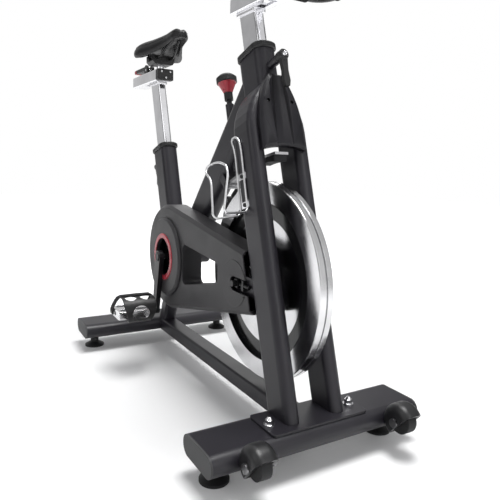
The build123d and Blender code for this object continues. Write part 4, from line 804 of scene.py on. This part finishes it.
# Handlebar: bent steel tube in satin black on a welded bracket, with foam grips pushed over the
# cross bar, the sides and the horns.
bar_black = finish("bar_paint", (0.010, 0.010, 0.011), 0.36, grain=900, depth=0.2, specular=0.38)
wear(bar_black, "handlebar")
foam_radius, foam_bore, foam_roll = 18.5, 15.1, 2.2
groove_depth, groove_half, groove_pitch = 0.7, 1.3, 9


def foam_sleeve(start, end):
    """Rings of a grip between two points in millimetres from the crank axis, with rolled ends."""
    run = (end - start).normalized()
    side = run.cross(Vector((0, 0, 1))).normalized()
    top = side.cross(run)
    length = (end - start).length
    groove_radius = foam_radius - groove_depth
    lip = [(0, foam_bore), (0, foam_radius - foam_roll), (groove_depth, groove_radius)]
    lip.append((foam_roll, foam_radius))
    steps = list(lip)
    count = max(2, round(length / groove_pitch))
    for i in range(1, count):
        x = foam_roll + (length - 2 * foam_roll) * i / count
        steps += [(x - groove_half, foam_radius), (x, groove_radius), (x + groove_half, foam_radius)]
    steps += [(length - x, r) for x, r in reversed(lip)]
    rings = []
    for x, r in steps:
        middle = start + run * x
        round_it = [side * (r * math.cos(t)) + top * (r * math.sin(t)) for t in full_turn(36)]
        rings.append([at_crank(*(middle + out)) for out in round_it])
    return rings


foam = finish("grip_foam", (0.012, 0.012, 0.013), 0.85, grain=420, depth=0.9, pale_edges=0.0, specular=0.3)
horn, knee = Vector((496, -188, 1128)), Vector((456, -222, 1056))
corner, cross_bar = Vector((306, -222, 1056)), Vector((306, -49, 1056))
stretches = ((horn, knee, 0, 30), (knee, corner, 30, 52), (corner, cross_bar, 52, 0))
for i, (first, last, skip_first, skip_last) in enumerate(stretches):
    way = (last - first).normalized()
    ends = (first + way * skip_first, last - way * skip_last)
    for side, flip in (("right", 1), ("left", -1)):
        start, end = (Vector((p.x, flip * p.y, p.z)) for p in ends)
        grip = skin(f"grip_{side}_{i + 1}", foam_sleeve(start, end), foam, ends=False)
        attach(grip, "bar_slider")
        if grip.name == "grip_right_1":
            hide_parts("handlebar_grips")

# Brake: a rubber-topped knob with a red collar on a blackened push rod, a gunmetal spring arm
# with a bright zinc tip under the main tube, and a pad over the flywheel.
wear(black_oxide, "brake_rod")
wear(gunmetal, "brake_arm")
bright_tip = crank_x + 0.375
wear_where(zinc, "brake_arm", lambda middle: middle.x > bright_tip)
wear(tyre, "brake_pad")
knob_black = (0.009, 0.009, 0.0095)
knob_rubber = finish("knob_rubber", knob_black, 0.5, grain=1100, depth=0.5, pale_edges=0.1, specular=0.38)
wear(knob_rubber, "resistance_knob")
knob_foot, collar_from, collar_to = at_crank(213, 0, 800), 0.0075, 0.0342
rod_way = Vector((-math.sin(rake), 0, math.cos(rake)))
wear_where(red, "resistance_knob", lambda middle: collar_from < (middle - knob_foot).dot(rod_way) < collar_to)


# Bottle cage: one bent and satin-chromed wire with rails, a shelf and a hoop, welded to two
# straps that are screwed to the right leg.
def bent_wire(name, corners, bends, radius, material):
    """A closed round wire with softly bent corners; each corner has its own bend."""
    spots = []
    for i, corner in enumerate(corners):
        here = Vector(corner)
        back, on = Vector(corners[i - 1]) - here, Vector(corners[(i + 1) % len(corners)]) - here
        for way, share in ((back, 1.0), (back, 0.5), (on, 0.5), (on, 1.0)):
            spots.append(here + way.normalized() * share * min(bends[i], 0.45 * way.length))
    line = bpy.data.curves.new(name, "CURVE")
    line.dimensions, line.bevel_depth, line.bevel_resolution, line.resolution_u = "3D", radius / 1000, 5, 8
    spline = line.splines.new("NURBS")
    spline.points.add(len(spots) - 1)
    for point, spot in zip(spline.points, spots):
        point.co = (*at_crank(*spot), 1)
    spline.use_cyclic_u = True
    spline.order_u = 3
    seed = put(name + "_line", line)
    mesh = bpy.data.meshes.new_from_object(seed.evaluated_get(bpy.context.evaluated_depsgraph_get()))
    bpy.data.objects.remove(seed)
    mesh.materials.clear()
    mesh.materials.append(material)
    for face in mesh.polygons:
        face.use_smooth = True
        face.material_index = 0
    return put(name, mesh)


rail_y, wire_radius = -79.8, 2.6
wire_corners = [
    (425.2, rail_y, 669.9), (404, rail_y, 686), (381, rail_y, 678), (402, rail_y, 650), (439, rail_y, 510),
    (447, -155, 505), (425, -150, 588), (388, -146, 602), (384, -140, 617), (430, -137, 628),
    (474, -134, 618), (496, -155, 522), (467.6, rail_y, 520.5),
]
wire_bends = [30, 14, 14, 20, 16, 16, 20, 14, 14, 30, 30, 16, 16]
satin_wire = finish("satin_wire", (0.62, 0.62, 0.63), 0.34, metal=1.0, depth=0.03, pale_edges=0.2, edge=0.0005)
cage_wire = bent_wire("cage_wire", wire_corners, wire_bends, wire_radius, satin_wire)
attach(cage_wire, "frame")
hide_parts("bottle_cage")
strap_outline = [(-17, -5), (-15, -7), (15, -7), (17, -5), (17, 5), (15, 7), (-15, 7), (-17, 5)]
strap_spots = [(453, 535), (435.5, 597)]
strap_inside, strap_outside, screw_seat = -77.1, -79.4, -79.3
for i, (x, z) in enumerate(strap_spots):
    rings = []
    for y in (strap_inside, strap_outside):
        ring = []
        for u, v in strap_outline:
            out, up = u * fork_way[0] - v * fork_way[2], u * fork_way[2] + v * fork_way[0]
            ring.append(at_crank(x + out, y, z + up))
        rings.append(ring)
    strap = skin(f"cage_strap_{i + 1}", rings, chrome)
    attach(strap, "frame")
cage_spots = [(x, screw_seat, z) for x, z in strap_spots]
screws("cage_screws", cage_spots, right_way, black_oxide, "frame", radius=0.0052, height=0.0036)
